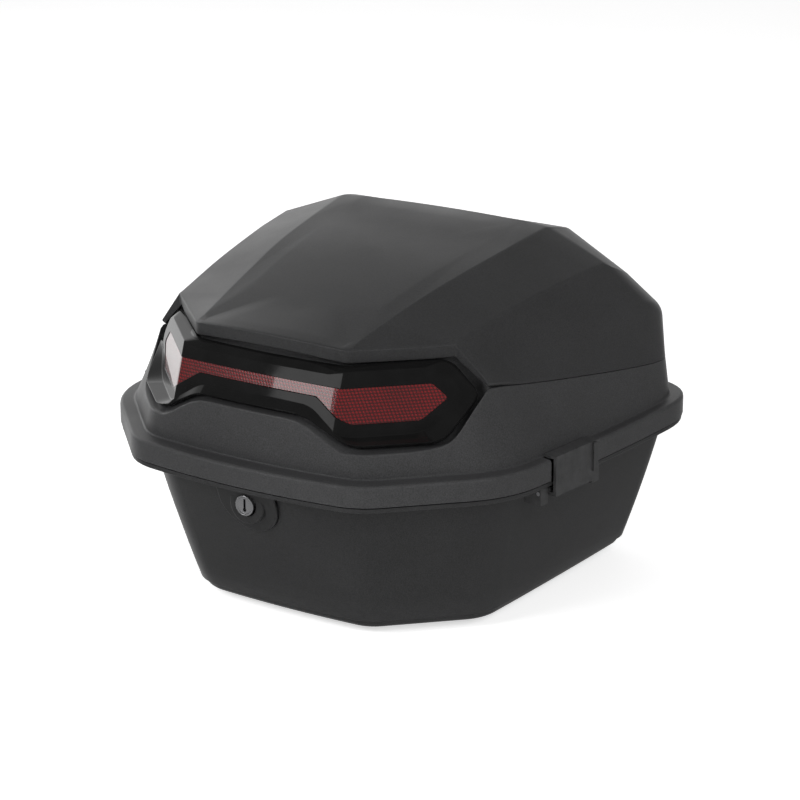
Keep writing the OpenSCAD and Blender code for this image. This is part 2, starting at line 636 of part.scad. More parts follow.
// A ring with its rear stations from one function and the rest from a ring of the cover's inside
function rear_or(rear, other) =
    let (n = len(other))
    [for (k = [0:n - 1])
        let (i = min(k, n - k), p = i <= 16 ? rear[i] : [0, 0, 0])
        i <= 16 ? [k <= LAST ? p[0] : -p[0], p[1] + rear_y, p[2]] : other[k]];
lid_outer = concat(
    [ring(at_z(rim, rim_z)), ring(at_z(rim, rim_top_z - rim_round)),
     ring(at_z(inset(rim, rim_round * 0.3), rim_top_z - rim_round * 0.3)),
     ring(at_z(inset(rim, rim_round), rim_top_z)), ring(at_z(foot, rim_top_z + 0.6))],
    [ring([for (i = [0:LAST]) let (p = wall_top[i]) [p[0], p[1], wall_top_z(p, i)]])],
    [ring([for (i = [0:LAST]) shelf(i)]), ring([for (i = [0:LAST]) pocket_low(i)])],
    [rear_or([for (i = [0:16]) pocket_high(i)], inner_cover[1]),
     rear_or([for (i = [0:16]) lip_back(i)], inner_cover[2]),
     rear_or(
        [for (i = [0:16])
            let (f = 0.35 * (1 - max(0, (i - 12) / 4)))
            lerp(inner_cover[3][i], inner_cover[4][i], f) - [0, rear_y, 0]],
        inner_cover[3])],
    [for (k = [4:6]) inner_cover[k]]
);
lid_inner = thinned([for (k = [4:len(lid_outer) - 1]) lid_outer[k]], wall);

module lid_shell() {
    skirt_in = [ring(at_z(inset(foot, wall), skirt_z)), ring(at_z(inset(foot, 0.2), skirt_z))];
    channel = [ring(at_z(inset(foot, 0.2), rim_top_z - wall)), ring(at_z(inset(rim, wall), rim_top_z - wall)),
               ring(at_z(inset(rim, wall), rim_z))];
    color(matte_black) difference() {
        loft(concat(reversed(lid_inner), skirt_in, channel, lid_outer));
        for (side = [-1, 1]) clip_frame(side)
            translate([-8.8, -clip_l / 2 - 1.5, rim_z - 5]) cube([30, clip_l + 3, rim_top_z - rim_z + 6]);
        for (side = [-1, 1], s = [-1, 1])
            translate([side * hinge_x + s * screw_x, lid_screw_y, rim_top_z - 6]) cylinder(d = screw_hole_d, h = 9);
    }
}

module lid_cover() {
    skin = thinned(cover_rows, cover_t);
    behind = [for (k = [1, 2]) rear_or(
        [for (i = [0:16])
            let (p = lerp(skin[0][i], skin[3][i], 0.35 + 0.25 * k))
            lerp(p, skin[k][i], max(0, (i - 12) / 4)) - [0, rear_y, 0]],
        skin[k])];
    rim_row = [for (k = [0:len(skin[0]) - 1]) [skin[0][k][0], skin[0][k][1], cover_rows[0][k][2]]];
    inner = concat([rim_row], behind, [for (k = [3:6]) skin[k]]);
    color(matte_black) loft(concat(reversed(inner), cover_rows));
}

// ---------------------------------------------------------------- reflector
bezel_t = 2.4;

// A run of points with every inner corner rounded: r = how far each rounding reaches
function softened(p, r, n) =
    let (m = len(p))
    concat([p[0]],
        [for (k = [1:m - 2])
            let (
                u = p[k - 1] - p[k],
                v = p[k + 1] - p[k],
                a = p[k] + min(r[k], 0.45 * norm(u)) * unit(u),
                b = p[k] + min(r[k], 0.45 * norm(v)) * unit(v)
            )
            each curve(a, p[k], b, n)],
        [p[m - 1]]);
function on_lens(p) = [p[0], lens_y(p[0], p[1]), p[1]];
function loop(half) =
    [for (p = concat(half, [for (k = [len(half) - 2:-1:1]) [-half[k][0], half[k][1], half[k][2]]])) p + [0, rear_y, 0]];

// Half outlines from the middle of the lower edge round the tip to the middle of the upper edge:
// the lens's opening, the edge of the border round it, and the outer edge
opening_pts = [[0, 193.7], [26, 193.7], [52.3, 193.7], [lens_turn, 181.6], [80.2, 176], [116, 176],
    lens_tip, [118.6, 201.5], [lens_turn, 201.5], [36, 201.5], [0, 201.5]];
border_pts = [[0, 187], [25, 187], [48, 187], [lens_turn, 171.9], [78.5, 167.3], [120, 167.2],
    [137.5, 190.3], [122.5, 212.5], [lens_turn, 213], [60, 210], [0, 210]];
edge_pts = [[0, 17.2, 182], [25, 17.6, 182], [47, 18.8, 182], [76, 21.4, 166.9], [89, 23.5, 164.2], [134, 67, 164],
    [143, 102.4, 190.1], [122, 95.5, 215.3], [66, 43.3, 214], [36, 40.5, 214], [0, 39.5, 214]];
edge_back = [for (k = [0:10]) edge_pts[k]
    + (k <= 5 ? [0, 3, -2.5] : k == 6 ? [1, 3, 0] : [0, 3, 0.5])];
OPENING_R = [0, 2, 1, 2, 1, 1, 1, 1, 2, 2, 0];
BORDER_R = [0, 2, 9, 2, 9, 10, 9, 9, 2, 2, 0];
EDGE_R = [0, 2, 9, 3, 9, 10, 9, 9, 6, 2, 0];
CORNER_N = 4;
opening_loop = loop([for (p = softened(opening_pts, OPENING_R, CORNER_N)) on_lens(p)]);
border_loop = loop([for (p = softened(border_pts, BORDER_R, CORNER_N)) on_lens(p)]);
edge_loop = loop(softened(edge_pts, EDGE_R, CORNER_N));
edge_back_loop = loop(softened(edge_back, EDGE_R, CORNER_N));
// Moves a point of the lens's face into the case by d
function sunk(p, d) =
    let (turned = min(1, max(0, (abs(p[0]) - lens_turn + 3) / 6)))
    p + d * [-sign(p[0]) * 0.7 * turned, 1, 0];

module reflector_bezel() {
    color(gloss_black) {
        hoop([[for (p = opening_loop) sunk(p, bezel_t)], [for (p = border_loop) sunk(p, bezel_t)],
              edge_back_loop, edge_loop, border_loop, opening_loop]);
        at_bezel_posts() translate([0, 0, -9.2]) cylinder(r = 3.2, h = 9);
    }
}

// A slab of the lens's outline, drawn in by gap, from back behind its face and t thick
module lens_slab(gap, back, t) {
    n = 30;
    reach = lens_tip[0] - 1 - gap;
    rows = [for (k = [0:n])
        let (x = reach * (k / n * 2 - 1), a = lens_low(abs(x)) + gap, b = lens_high(abs(x)) - gap)
        [for (c = [[a, back], [a, back + t], [b, back + t], [b, back]])
            sunk([x, lens_y(x, c[0]), c[0]], c[1]) + [0, rear_y, 0]]];
    loft(rows);
}

module reflector_lens() {
    color(lens_red) lens_slab(0.8, 0.4, 1.5);
}

module reflector_backing() {
    color([0.75, 0.2, 0.2]) lens_slab(-1.5, bezel_t + 0.2, 0.8);
}

// Stands its children on the pocket's wall, z pointing into the lid, square to the wall
module at_bezel_posts() {
    for (x = [-30, 30]) translate([x, rear_y + 42.5, 204]) rotate([-119.3, 0, 0]) children();
}

module bezel_screws() {
    color(steel) at_bezel_posts() translate([0, 0, wall + 0.4]) screw(3, wall + 6);
}

module cover_screws() {
    color(steel) for (x = [-60, 60], y = [138, 268])
        let (slope = (panel_z(y + 1) - panel_z(y - 1)) / 2)
        translate([x, rear_y + y, panel_z(y) - crown * (x / 95) ^ 2 - cover_t - cover_gap - wall + 0.2])
            rotate([atan(slope) + 180, 0, 0]) screw(screw_d, 5.4);
}

base_shell();
lid_seal();
floor_mat();
backing_plate();
base_hinge(-1);  // base_hinge_left
base_hinge(1);  // base_hinge_right
hinge_pin(-1);  // hinge_pin_left
hinge_pin(1);  // hinge_pin_right
clip_bracket(-1);  // clip_bracket_left
clip_bracket(1);  // clip_bracket_right
clip_pin(-1);  // clip_pin_left
clip_pin(1);  // clip_pin_right
lock_housing();
lock_nut();
base_hinge_screws();
lid_shell();
lid_cover();
reflector_bezel();
reflector_lens();
reflector_backing();
lid_hinge(-1);  // lid_hinge_left
lid_hinge(1);  // lid_hinge_right
lid_hinge_screws();
cover_screws();
bezel_screws();
striker();
striker_screws();
lock_cylinder();
lock_cam();
cam_screw();
side_clip(-1);  // side_clip_left
side_clip(1);  // side_clip_right
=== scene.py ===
import bmesh
import bpy
import json
import math

import numpy as np
from mathutils import Matrix, Vector


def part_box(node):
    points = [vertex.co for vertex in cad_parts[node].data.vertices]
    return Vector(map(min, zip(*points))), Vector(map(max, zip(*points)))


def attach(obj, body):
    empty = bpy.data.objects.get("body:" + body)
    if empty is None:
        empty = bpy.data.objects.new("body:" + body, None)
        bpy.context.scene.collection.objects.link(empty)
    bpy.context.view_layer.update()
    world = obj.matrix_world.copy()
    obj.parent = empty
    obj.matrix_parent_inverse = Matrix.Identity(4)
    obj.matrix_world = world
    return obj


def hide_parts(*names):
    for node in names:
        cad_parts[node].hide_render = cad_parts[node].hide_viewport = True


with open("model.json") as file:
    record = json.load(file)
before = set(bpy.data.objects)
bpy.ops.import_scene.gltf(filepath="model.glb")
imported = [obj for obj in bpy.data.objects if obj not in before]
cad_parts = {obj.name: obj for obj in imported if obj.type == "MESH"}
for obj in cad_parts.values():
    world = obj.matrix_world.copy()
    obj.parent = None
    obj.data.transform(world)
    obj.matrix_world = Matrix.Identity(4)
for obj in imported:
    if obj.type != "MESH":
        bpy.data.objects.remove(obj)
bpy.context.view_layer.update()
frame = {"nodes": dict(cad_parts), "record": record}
nodes = frame["nodes"]

MM = 0.001
REAR_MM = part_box("lid_shell")[0].y / MM
RIM_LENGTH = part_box("lid_shell")[1].y / MM - REAR_MM

# The CAD's own measures. Heights (_Z) are above the table, depths (y) start at the lid's rear edge
FLANGE_Z = 119.2
FLANGE_T = 3.4
RIM_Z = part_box("lid_shell")[0].z / MM
RIM_TOP = 139.5
WALL = 3.0
COVER_T = 3.0
COVER_GAP = 0.4
LIP_H = 9.5
CROWN = 2.2
TUB_SWELL = 1.5
FLOOR_R = 9.0
LIFT = 5.0
LOCK_Z = 105.5


# ---------------------------------------------------------------- numbers and outlines
def lerp(a, b, t):
    return np.asarray(a, float) + (np.asarray(b, float) - np.asarray(a, float)) * t


def unit(v):
    return v / np.linalg.norm(v)


def bezier(a, b, c, t):
    a, b, c = (np.asarray(p, float) for p in (a, b, c))
    return (1 - t) ** 2 * a + 2 * t * (1 - t) * b + t**2 * c


def lookup(x, table):
    return float(np.interp(x, [p[0] for p in table], [p[1] for p in table]))


def eased(x, table):
    """Like lookup, but bends smoothly through the same points and never passes them."""
    xs, ys = np.array([p[0] for p in table], float), np.array([p[1] for p in table], float)
    if x <= xs[0]:
        return ys[0]
    if x >= xs[-1]:
        return ys[-1]
    h = np.diff(xs)
    d = np.diff(ys) / h
    m = np.empty_like(ys)
    m[0], m[-1] = d[0], d[-1]
    for k in range(1, len(xs) - 1):
        m[k] = 0 if d[k - 1] * d[k] <= 0 else 2 * d[k - 1] * d[k] / (d[k - 1] + d[k])
    k = int(np.searchsorted(xs, x) - 1)
    t = (x - xs[k]) / h[k]
    a, b = 2 * t**3 - 3 * t**2 + 1, -2 * t**3 + 3 * t**2
    c, e = t**3 - 2 * t**2 + t, t**3 - t**2
    return a * ys[k] + b * ys[k + 1] + c * h[k] * m[k] + e * h[k] * m[k + 1]


def spaced(a, b, n):
    return [a + (b - a) * k / n for k in range(n)]


# Stations 0 to 30 run round half of the case: rear 0-4, slanted corner 8-12, side 16-22, front 27-30
S = np.array(
    spaced(0, 4, 8) + spaced(4, 8, 8) + spaced(8, 11, 5) + spaced(11, 12, 3) + spaced(12, 16, 12)
    + spaced(16, 17, 3) + spaced(17, 22, 10) + spaced(22, 27, 12) + spaced(27, 30, 5) + [30]
)
N = len(S)


def half_outline(rear, v, t, bow):
    """Half of an outline seen from above, with corners v rounded over t and a side that bows out."""
    v = [np.array(p, float) for p in v]
    d12, d23 = unit(v[1] - v[0]), unit(v[2] - v[1])
    out = np.array([d23[1], -d23[0]])
    side_l = np.linalg.norm(v[2] - v[1])
    x0 = v[0][0] - t[0]
    s0, s1 = t[1] / side_l, 1 - t[2] / side_l

    def rear_p(x):
        return np.array([x, rear + (v[0][1] - rear) * (x / v[0][0]) ** 2])

    def side(q):
        return v[1] + q * side_l * d23 + bow * 4 * q * (1 - q) * out

    def at(s):
        if s <= 4:
            return rear_p(np.interp(s, [0, 1, 2, 3, 4], [0, 0.28, 0.56, 0.78, 1]) * x0)
        if s <= 8:
            return bezier(rear_p(x0), v[0], v[0] + t[0] * d12, (s - 4) / 4)
        if s <= 12:
            return lerp(v[0] + t[0] * d12, v[1] - t[1] * d12, (s - 8) / 4)
        if s <= 16:
            return bezier(v[1] - t[1] * d12, v[1], side(s0), (s - 12) / 4)
        if s <= 22:
            return side(lerp(s0, s1, (s - 16) / 6))
        if s <= 27:
            return bezier(side(s1), v[2], v[2] - [t[2], 0], (s - 22) / 5)
        return np.array([(1 - (s - 27) / 3) * (v[2][0] - t[2]), v[2][1]])

    return np.array([at(s) for s in S])


def inset(h, d):
    """Moves a half outline inwards by d."""
    before = np.vstack([[-h[1][0], h[1][1]], h[:-1]])
    after = np.vstack([h[1:], [-h[-2][0], h[-2][1]]])
    t = after - before
    t /= np.linalg.norm(t, axis=1)[:, None]
    return h + d * np.stack([-t[:, 1], t[:, 0]], 1)


def at_z(h, z):
    return np.column_stack([h, np.full(len(h), z)])


def ring(h):
    """A whole ring, in millimetres in the row frame, from half of it measured from the rear edge."""
    h = np.array(h, float) + [0, REAR_MM, 0]
    return np.vstack([h, h[-2:0:-1] * [-1, 1, 1]])


def thinned(rows, t):
    """Moves every point of the rows inwards by t, square to the surface."""
    rows = np.array(rows)
    along = np.roll(rows, -1, 1) - np.roll(rows, 1, 1)
    up = np.empty_like(rows)
    up[1:-1] = rows[2:] - rows[:-2]
    up[0], up[-1] = rows[1] - rows[0], rows[-1] - rows[-2]
    n = np.cross(along, up)
    length = np.linalg.norm(n, axis=2)[:, :, None]
    return rows - t * n / np.maximum(length, 1e-9)


def rounded(rows, radii, n=5, closed=False):
    """Rounds the profile at every row that has a radius: that row becomes n rows."""
    out, m = [], len(rows)
    for k in range(m):
        if radii[k] <= 0 or (not closed and k in (0, m - 1)):
            out.append(rows[k])
            continue
        u, v = rows[k - 1] - rows[k], rows[(k + 1) % m] - rows[k]
        lu, lv = np.linalg.norm(u, axis=1)[:, None], np.linalg.norm(v, axis=1)[:, None]
        a = rows[k] + u / np.maximum(lu, 1e-6) * np.minimum(radii[k], 0.45 * lu)
        b = rows[k] + v / np.maximum(lv, 1e-6) * np.minimum(radii[k], 0.45 * lv)
        out += [bezier(a, rows[k], b, j / (n - 1)) for j in range(n)]
    return out


def eased_ring(r, times):
    """Takes the hard corners out of a ring, going round it."""
    for _ in range(times):
        r = 0.25 * np.roll(r, 1, 0) + 0.5 * r + 0.25 * np.roll(r, -1, 0)
    return r


# ---------------------------------------------------------------- meshes
def mesh_object(name, verts_mm, faces, body=None):
    mesh = bpy.data.meshes.new(name)
    mesh.from_pydata((np.asarray(verts_mm, float) * MM).tolist(), [], faces)
    bm = bmesh.new()
    bm.from_mesh(mesh)
    bmesh.ops.remove_doubles(bm, verts=bm.verts, dist=1e-6)
    bmesh.ops.recalc_face_normals(bm, faces=bm.faces)
    bm.to_mesh(mesh)
    bm.free()
    mesh.polygons.foreach_set("use_smooth", [True] * len(mesh.polygons))
    obj = bpy.data.objects.new(name, mesh)
    bpy.context.scene.collection.objects.link(obj)
    if body:
        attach(obj, body)
    return obj


def grid_faces(m, n, closed_rows=False):
    faces = []
    for r in range(m if closed_rows else m - 1):
        q = (r + 1) % m
        for i in range(n):
            j = (i + 1) % n
            faces.append((r * n + i, r * n + j, q * n + j, q * n + i))
    return faces


def loft(name, rings, body):
    """A closed solid through the rings, with a fan of faces over each end."""
    m, n = len(rings), len(rings[0])
    verts = np.vstack([*rings, rings[0].mean(0), rings[-1].mean(0)])
    faces = grid_faces(m, n)
    for tip, base in ((m * n, 0), (m * n + 1, (m - 1) * n)):
        faces += [(tip, base + i, base + (i + 1) % n) for i in range(n)]
    return mesh_object(name, verts, faces, body)


def hoop(name, rings, body):
    return mesh_object(name, np.vstack(rings), grid_faces(len(rings), len(rings[0]), True), body)


def lathe(name, profile, centre_mm, body):
    """Turns a closed run of (radius, depth) points about the lock's direction, +Y."""
    n, verts = 72, []
    for r, d in profile:
        for k in range(n):
            a = 2 * math.pi * k / n
            verts.append((centre_mm[0] + r * math.cos(a), centre_mm[1] + d, centre_mm[2] + r * math.sin(a)))
    return mesh_object(name, verts, grid_faces(len(profile), n, True), body)


def placed(name, bm, matrix):
    """A tool for cutting, which is removed once it has cut."""
    mesh = bpy.data.meshes.new(name)
    bm.to_mesh(mesh)
    bm.free()
    obj = bpy.data.objects.new(name, mesh)
    obj.matrix_world = matrix
    bpy.context.scene.collection.objects.link(obj)
    return obj


def cutter(name, radius, length, matrix):
    bm, r = bmesh.new(), radius * MM
    bmesh.ops.create_cone(bm, cap_ends=True, segments=48, radius1=r, radius2=r, depth=length * MM)
    return placed(name, bm, matrix)


def box_cutter(name, low, high, matrix=Matrix.Identity(4)):
    bm = bmesh.new()
    bmesh.ops.create_cube(bm, size=1)
    low, high = Vector(low) * MM, Vector(high) * MM
    for v in bm.verts:
        v.co = Vector([(low[k] + high[k]) / 2 + v.co[k] * (high[k] - low[k]) for k in range(3)])
    return placed(name, bm, matrix)


def applied(obj):
    """Turns an object's modifiers into its own mesh."""
    bpy.context.view_layer.update()
    mesh = bpy.data.meshes.new_from_object(obj.evaluated_get(bpy.context.evaluated_depsgraph_get()))
    obj.modifiers.clear()
    obj.data = mesh
    return obj


def cut(obj, cutters):
    for c in cutters:
        mod = obj.modifiers.new("cut", "BOOLEAN")
        mod.operation, mod.object, mod.solver = "DIFFERENCE", c, "EXACT"
    applied(obj)
    for c in cutters:
        bpy.data.objects.remove(c)
    return obj


def bevelled(obj, width_mm, segments=3, angle=35):
    mod = obj.modifiers.new("edges", "BEVEL")
    mod.width, mod.segments, mod.limit_method = width_mm * MM, segments, "ANGLE"
    mod.angle_limit = math.radians(angle)
    mod.harden_normals = True
    return obj


def even_normals(obj):
    mod = obj.modifiers.new("normals", "WEIGHTED_NORMAL")
    mod.keep_sharp = True
    mod.weight = 80
    return obj


# ---------------------------------------------------------------- materials
def new_material(name):
    mat = bpy.data.materials.new(name)
    mat.use_nodes = True
    tree = mat.node_tree
    return mat, tree, tree.nodes["Principled BSDF"]


def node(tree, kind, **values):
    n = tree.nodes.new(kind)
    for key, value in values.items():
        if hasattr(n, key) and key not in n.inputs:
            setattr(n, key, value)
        else:
            n.inputs[key].default_value = value
    return n


def noise(tree, coord, scale, detail=3.0, rough=0.5):
    n = node(tree, "ShaderNodeTexNoise", Scale=scale, Detail=detail, Roughness=rough)
    tree.links.new(coord, n.inputs["Vector"])
    return n.outputs["Fac"]


def ramp(tree, value, stops):
    r = tree.nodes.new("ShaderNodeValToRGB")
    while len(r.color_ramp.elements) < len(stops):
        r.color_ramp.elements.new(0.5)
    for e, (pos, col) in zip(r.color_ramp.elements, stops):
        e.position, e.color = pos, (*col, 1) if len(col) == 3 else col
    tree.links.new(value, r.inputs["Fac"])
    return r.outputs["Color"]


COOL_TINT = (1, 1, 1.03)


def plastic(name, grey, rough, grain=1100, depth=0.5, wear=0.03):
    """Moulded black plastic: fine grain, cloudy gloss and slightly paler worn edges."""
    mat, tree, bsdf = new_material(name)
    links = tree.links
    coord = node(tree, "ShaderNodeTexCoord").outputs["Object"]
    fine = noise(tree, coord, grain, 2.0, 0.6)
    broad = noise(tree, coord, 14, 4.0, 0.55)
    dark, light = (tuple(grey * f * t for t in COOL_TINT) for f in (0.9, 1.12))
    cloud = ramp(tree, broad, [(0.3, dark), (0.7, light)])
    speck = ramp(tree, fine, [(0.3, (0.62,) * 3), (0.7, (1.45,) * 3)])
    mixed = node(tree, "ShaderNodeMix", data_type="RGBA", blend_type="MULTIPLY")
    mixed.inputs[0].default_value = 1.0
    links.new(cloud, mixed.inputs[6])
    links.new(speck, mixed.inputs[7])
    geometry = node(tree, "ShaderNodeNewGeometry")
    edge = ramp(tree, geometry.outputs["Pointiness"], [(0.5, (0, 0, 0)), (0.58, (1, 1, 1))])
    patchy = node(tree, "ShaderNodeMath", operation="MULTIPLY")
    links.new(edge, patchy.inputs[0])
    links.new(noise(tree, coord, 160, 3.0), patchy.inputs[1])
    worn = node(tree, "ShaderNodeMix", data_type="RGBA")
    links.new(patchy.outputs[0], worn.inputs[0])
    links.new(mixed.outputs[2], worn.inputs[6])
    worn.inputs[7].default_value = (grey + wear, grey + wear, (grey + wear) * 1.02, 1)
    links.new(worn.outputs[2], bsdf.inputs["Base Color"])
    gloss = ramp(tree, broad, [(0.3, (rough - 0.04,) * 3), (0.7, (rough + 0.05,) * 3)])
    links.new(gloss, bsdf.inputs["Roughness"])
    bsdf.inputs["Specular IOR Level"].default_value = 0.5
    bump = node(tree, "ShaderNodeBump", Strength=depth, Distance=0.00012)
    links.new(fine, bump.inputs["Height"])
    links.new(bump.outputs["Normal"], bsdf.inputs["Normal"])
    return mat


def metal(name, colour, rough, grain, depth=0.15, metallic=1.0):
    """Brushed or plated metal, cloudy in tone and in gloss."""
    mat, tree, bsdf = new_material(name)
    coord = node(tree, "ShaderNodeTexCoord").outputs["Object"]
    broad = noise(tree, coord, 60, 4.0)
    fine = noise(tree, coord, grain, 3.0)
    tone = ramp(tree, broad, [(0.3, tuple(c * 0.86 for c in colour)), (0.7, colour)])
    tree.links.new(tone, bsdf.inputs["Base Color"])
    sheen = ramp(tree, fine, [(0.2, (rough - 0.08,) * 3), (0.8, (rough + 0.1,) * 3)])
    tree.links.new(sheen, bsdf.inputs["Roughness"])
    bsdf.inputs["Metallic"].default_value = metallic
    bump = node(tree, "ShaderNodeBump", Strength=depth, Distance=0.00006)
    tree.links.new(fine, bump.inputs["Height"])
    tree.links.new(bump.outputs["Normal"], bsdf.inputs["Normal"])
    return mat


def gloss(name, grey):
    """Polished black plastic with a little dust on it."""
    mat, tree, bsdf = new_material(name)
    coord = node(tree, "ShaderNodeTexCoord").outputs["Object"]
    wave = noise(tree, coord, 45, 2.0)
    dust = noise(tree, coord, 260, 3.0)
    tone = ramp(tree, wave, [(0.3, (grey * 0.8,) * 3), (0.7, (grey * 1.2,) * 3)])
    tree.links.new(tone, bsdf.inputs["Base Color"])
    tree.links.new(ramp(tree, dust, [(0.35, (0.06,) * 3), (0.75, (0.09,) * 3)]), bsdf.inputs["Roughness"])
    bsdf.inputs["IOR"].default_value = 1.25
    bump = node(tree, "ShaderNodeBump", Strength=0.05, Distance=0.0004)
    tree.links.new(wave, bump.inputs["Height"])
    tree.links.new(bump.outputs["Normal"], bsdf.inputs["Normal"])
    return mat


# Prisms stand on a triangular grid, whose rows are closer than its columns
PRISM_PITCH_MM, ROW_RATIO = 2.6, 1.1547


def prismatic(name, deep, bright):
    """Clear red plastic over rows of small moulded prisms, each painted lighter in its middle and darker
    towards its edges as a painted glint of the light the prisms catch.
    """
    mat, tree, bsdf = new_material(name)
    links = tree.links
    flat = node(tree, "ShaderNodeAttribute", attribute_name="flat")
    shear = node(tree, "ShaderNodeMapping", vector_type="POINT")
    shear.inputs["Scale"].default_value = (1 / PRISM_PITCH_MM, ROW_RATIO / PRISM_PITCH_MM, 1)
    links.new(flat.outputs["Vector"], shear.inputs["Vector"])
    split = node(tree, "ShaderNodeSeparateXYZ")
    links.new(shear.outputs["Vector"], split.inputs[0])
    half = node(tree, "ShaderNodeMath", operation="MULTIPLY_ADD")
    links.new(split.outputs["Y"], half.inputs[0])
    half.inputs[1].default_value = 0.5
    links.new(split.outputs["X"], half.inputs[2])
    join = node(tree, "ShaderNodeCombineXYZ")
    links.new(half.outputs[0], join.inputs["X"])
    links.new(split.outputs["Y"], join.inputs["Y"])
    cells = node(tree, "ShaderNodeTexVoronoi", voronoi_dimensions="2D", Scale=1.0, Randomness=0.0)
    links.new(join.outputs[0], cells.inputs["Vector"])
    # Painted glint: each prism's colour runs from bright in its middle to deep at its edges
    painted_prism_glint = ramp(tree, cells.outputs["Distance"], [(0.05, bright), (0.5, deep)])
    coord = node(tree, "ShaderNodeTexCoord").outputs["Object"]
    broad = noise(tree, coord, 35, 3.0)
    tone = ramp(tree, broad, [(0.3, (0.85,) * 3), (0.7, (1.1,) * 3)])
    mixed = node(tree, "ShaderNodeMix", data_type="RGBA", blend_type="MULTIPLY")
    mixed.inputs[0].default_value = 1.0
    links.new(painted_prism_glint, mixed.inputs[6])
    links.new(tone, mixed.inputs[7])
    links.new(mixed.outputs[2], bsdf.inputs["Base Color"])
    bsdf.inputs["Roughness"].default_value = 0.22
    bsdf.inputs["Specular IOR Level"].default_value = 0.5
    bsdf.inputs["Coat Weight"].default_value = 1.0
    bsdf.inputs["Coat Roughness"].default_value = 0.03
    bump = node(tree, "ShaderNodeBump", Strength=0.35, Distance=0.0003, invert=True)
    links.new(cells.outputs["Distance"], bump.inputs["Height"])
    links.new(bump.outputs["Normal"], bsdf.inputs["Normal"])
    return mat


MATS = {
    "tub_plastic": plastic("tub_plastic", 0.017, 0.44),
    "lid_plastic": plastic("lid_plastic", 0.030, 0.42),
    "cover_plastic": plastic("cover_plastic", 0.021, 0.39),
    "clip_plastic": plastic("clip_plastic", 0.018, 0.42),
    "lock_plastic": plastic("lock_plastic", 0.010, 0.36, depth=0.2),
    "bezel_gloss": gloss("bezel_gloss", 0.006),
    "lens_red": prismatic("lens_red", (0.03, 0.0004, 0.0008), (0.17, 0.002, 0.004)),
    "backing_red": metal("backing_red", (0.45, 0.03, 0.04), 0.3, 900, metallic=0.0),
    "seal_rubber": plastic("seal_rubber", 0.014, 0.7, grain=1800, wear=0.01),
    "mat_rubber": plastic("mat_rubber", 0.03, 0.75, grain=900, wear=0.01),
    "steel": metal("steel", (0.55, 0.55, 0.57), 0.34, 500),
    "lock_metal": metal("lock_metal", (0.72, 0.72, 0.74), 0.26, 700, 0.08),
}
SLOTS = {r["node"]: r["material_slot"] for r in frame["record"]["subparts"]}


def finish_piece(obj, slot, *replaced):
    obj.data.materials.clear()
    obj.data.materials.append(MATS[slot])
    if replaced:
        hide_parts(*replaced)
    return obj


# ---------------------------------------------------------------- the case's outlines
rim = half_outline(0, [[101, 8.7], [179.5, 87.3], [201.5, RIM_LENGTH]], [17, 30, 58], 5)
tub_top = half_outline(12, [[84, 21], [160, 98.5], [185.5, RIM_LENGTH - 22]], [14, 22, 28], 3)
tub_floor = half_outline(58, [[74, 61], [139, 125], [147, RIM_LENGTH - 24]], [12, 16, 20], 1)
floor_pad = half_outline(88, [[62, 91], [110, 138], [116, RIM_LENGTH - 54]], [12, 14, 24], 1)
foot = half_outline(12.5, [[96.2, 20.6], [170.9, 95.3], [192.5, RIM_LENGTH - 12]], [15, 28, 50], 5)
wall_rear = half_outline(14.2, [[91.5, 20.5], [160.2, 89.2], [183.5, 330]], [14, 6, 45], 1)
lip = half_outline(41, [[66.5, 45.1], [124.5, 100.3], [147.4, 280]], [5, 3, 30], 0)
pocket = half_outline(33.5, [[77, 37.5], [129, 89.5], [183, 330]], [10, 5, 30], 0)

CREASE_X = [[45, 66.5], [130, 77.4], [178, 84.8], [283, 95.8], [310, 98]]
CREASE_Z = [[45, 225.5], [130, 246.6], [178, 256.3], [230, 263.8], [283, 270.2], [310, 262.5]]
SHOULDER_X = [[100, 124.5], [161.5, 133], [205.5, 139.5], [251.5, 146.3], [278, 149.6], [315, 154.5]]
SHOULDER_Z = [
    [100, 226.1], [161.5, 238], [205.5, 243.9], [251.5, 248.8], [278, 250.4], [300, 244], [315, 233.5],
]
LIP_END = np.array([124.5, 100.3, 226.1])
SEAM_START = np.array([148.9, 108.1, 196.3])
RECESS_EDGE = [[0, 178], [45.7, 178], [78.6, 158.3]]
RECESS = [
    [112, 41, 158.3], [123.5, 52.7, 158.3], [135.4, 68.4, 160.3], [139.4, 77.6, 165.3], [141.8, 85.2, 172.5],
    [143.8, 92.5, 180.3], [146.3, 100.3, 188.3], [148.6, 107.8, 195.8],
]
SHELF_END = [
    [107.5, 46.2, 158.6], [119, 57.9, 158.8], [131.5, 71.5, 159.8], [137.6, 82, 163.5], [138.6, 92, 170],
    [141, 102, 177.5], [144.2, 111, 186.5], [146.3, 113, 194.3],
]
POCKET_END = [
    [121, 87, 167.5], [126.5, 101, 175], [131, 110, 184], [137, 115.5, 191.5], [143.6, 114.5, 196.3],
]
SIDE_X = [[107.8, 148.6], [161.9, 158.8], [216.4, 168.3], [264, 177.5], [295.5, 184]]
SEAM_Z = [[107.8, 195.8], [161.9, 186.8], [216.4, 179], [272.4, 172.3], [324, 168.5]]
SIDE_END = 295.5
WALL_FRONT = RIM_LENGTH - 13.5


def crease(y):
    return eased(y, CREASE_X), eased(y, CREASE_Z)


def shoulder(y):
    return eased(y, SHOULDER_X), eased(y, SHOULDER_Z)


def seam_z(y):
    return eased(y, SEAM_Z)


def lip_z(x):
    return 225.5 + 3 * (1 - min(1, x / 66.5) ** 2)


def panel_z(y):
    return eased(min(y, 283), CREASE_Z) + CROWN


def tub_at(z, d=0.0):
    f = (z - LIFT) / (FLANGE_Z - LIFT)
    swell = TUB_SWELL * 4 * f * (1 - f)
    return at_z(inset(lerp(tub_floor, tub_top, f), d - swell), z)


def at_station(h, s):
    """The point of a half outline or half ring at any station."""
    return np.array([np.interp(s, S, h[:, k]) for k in range(h.shape[1])])


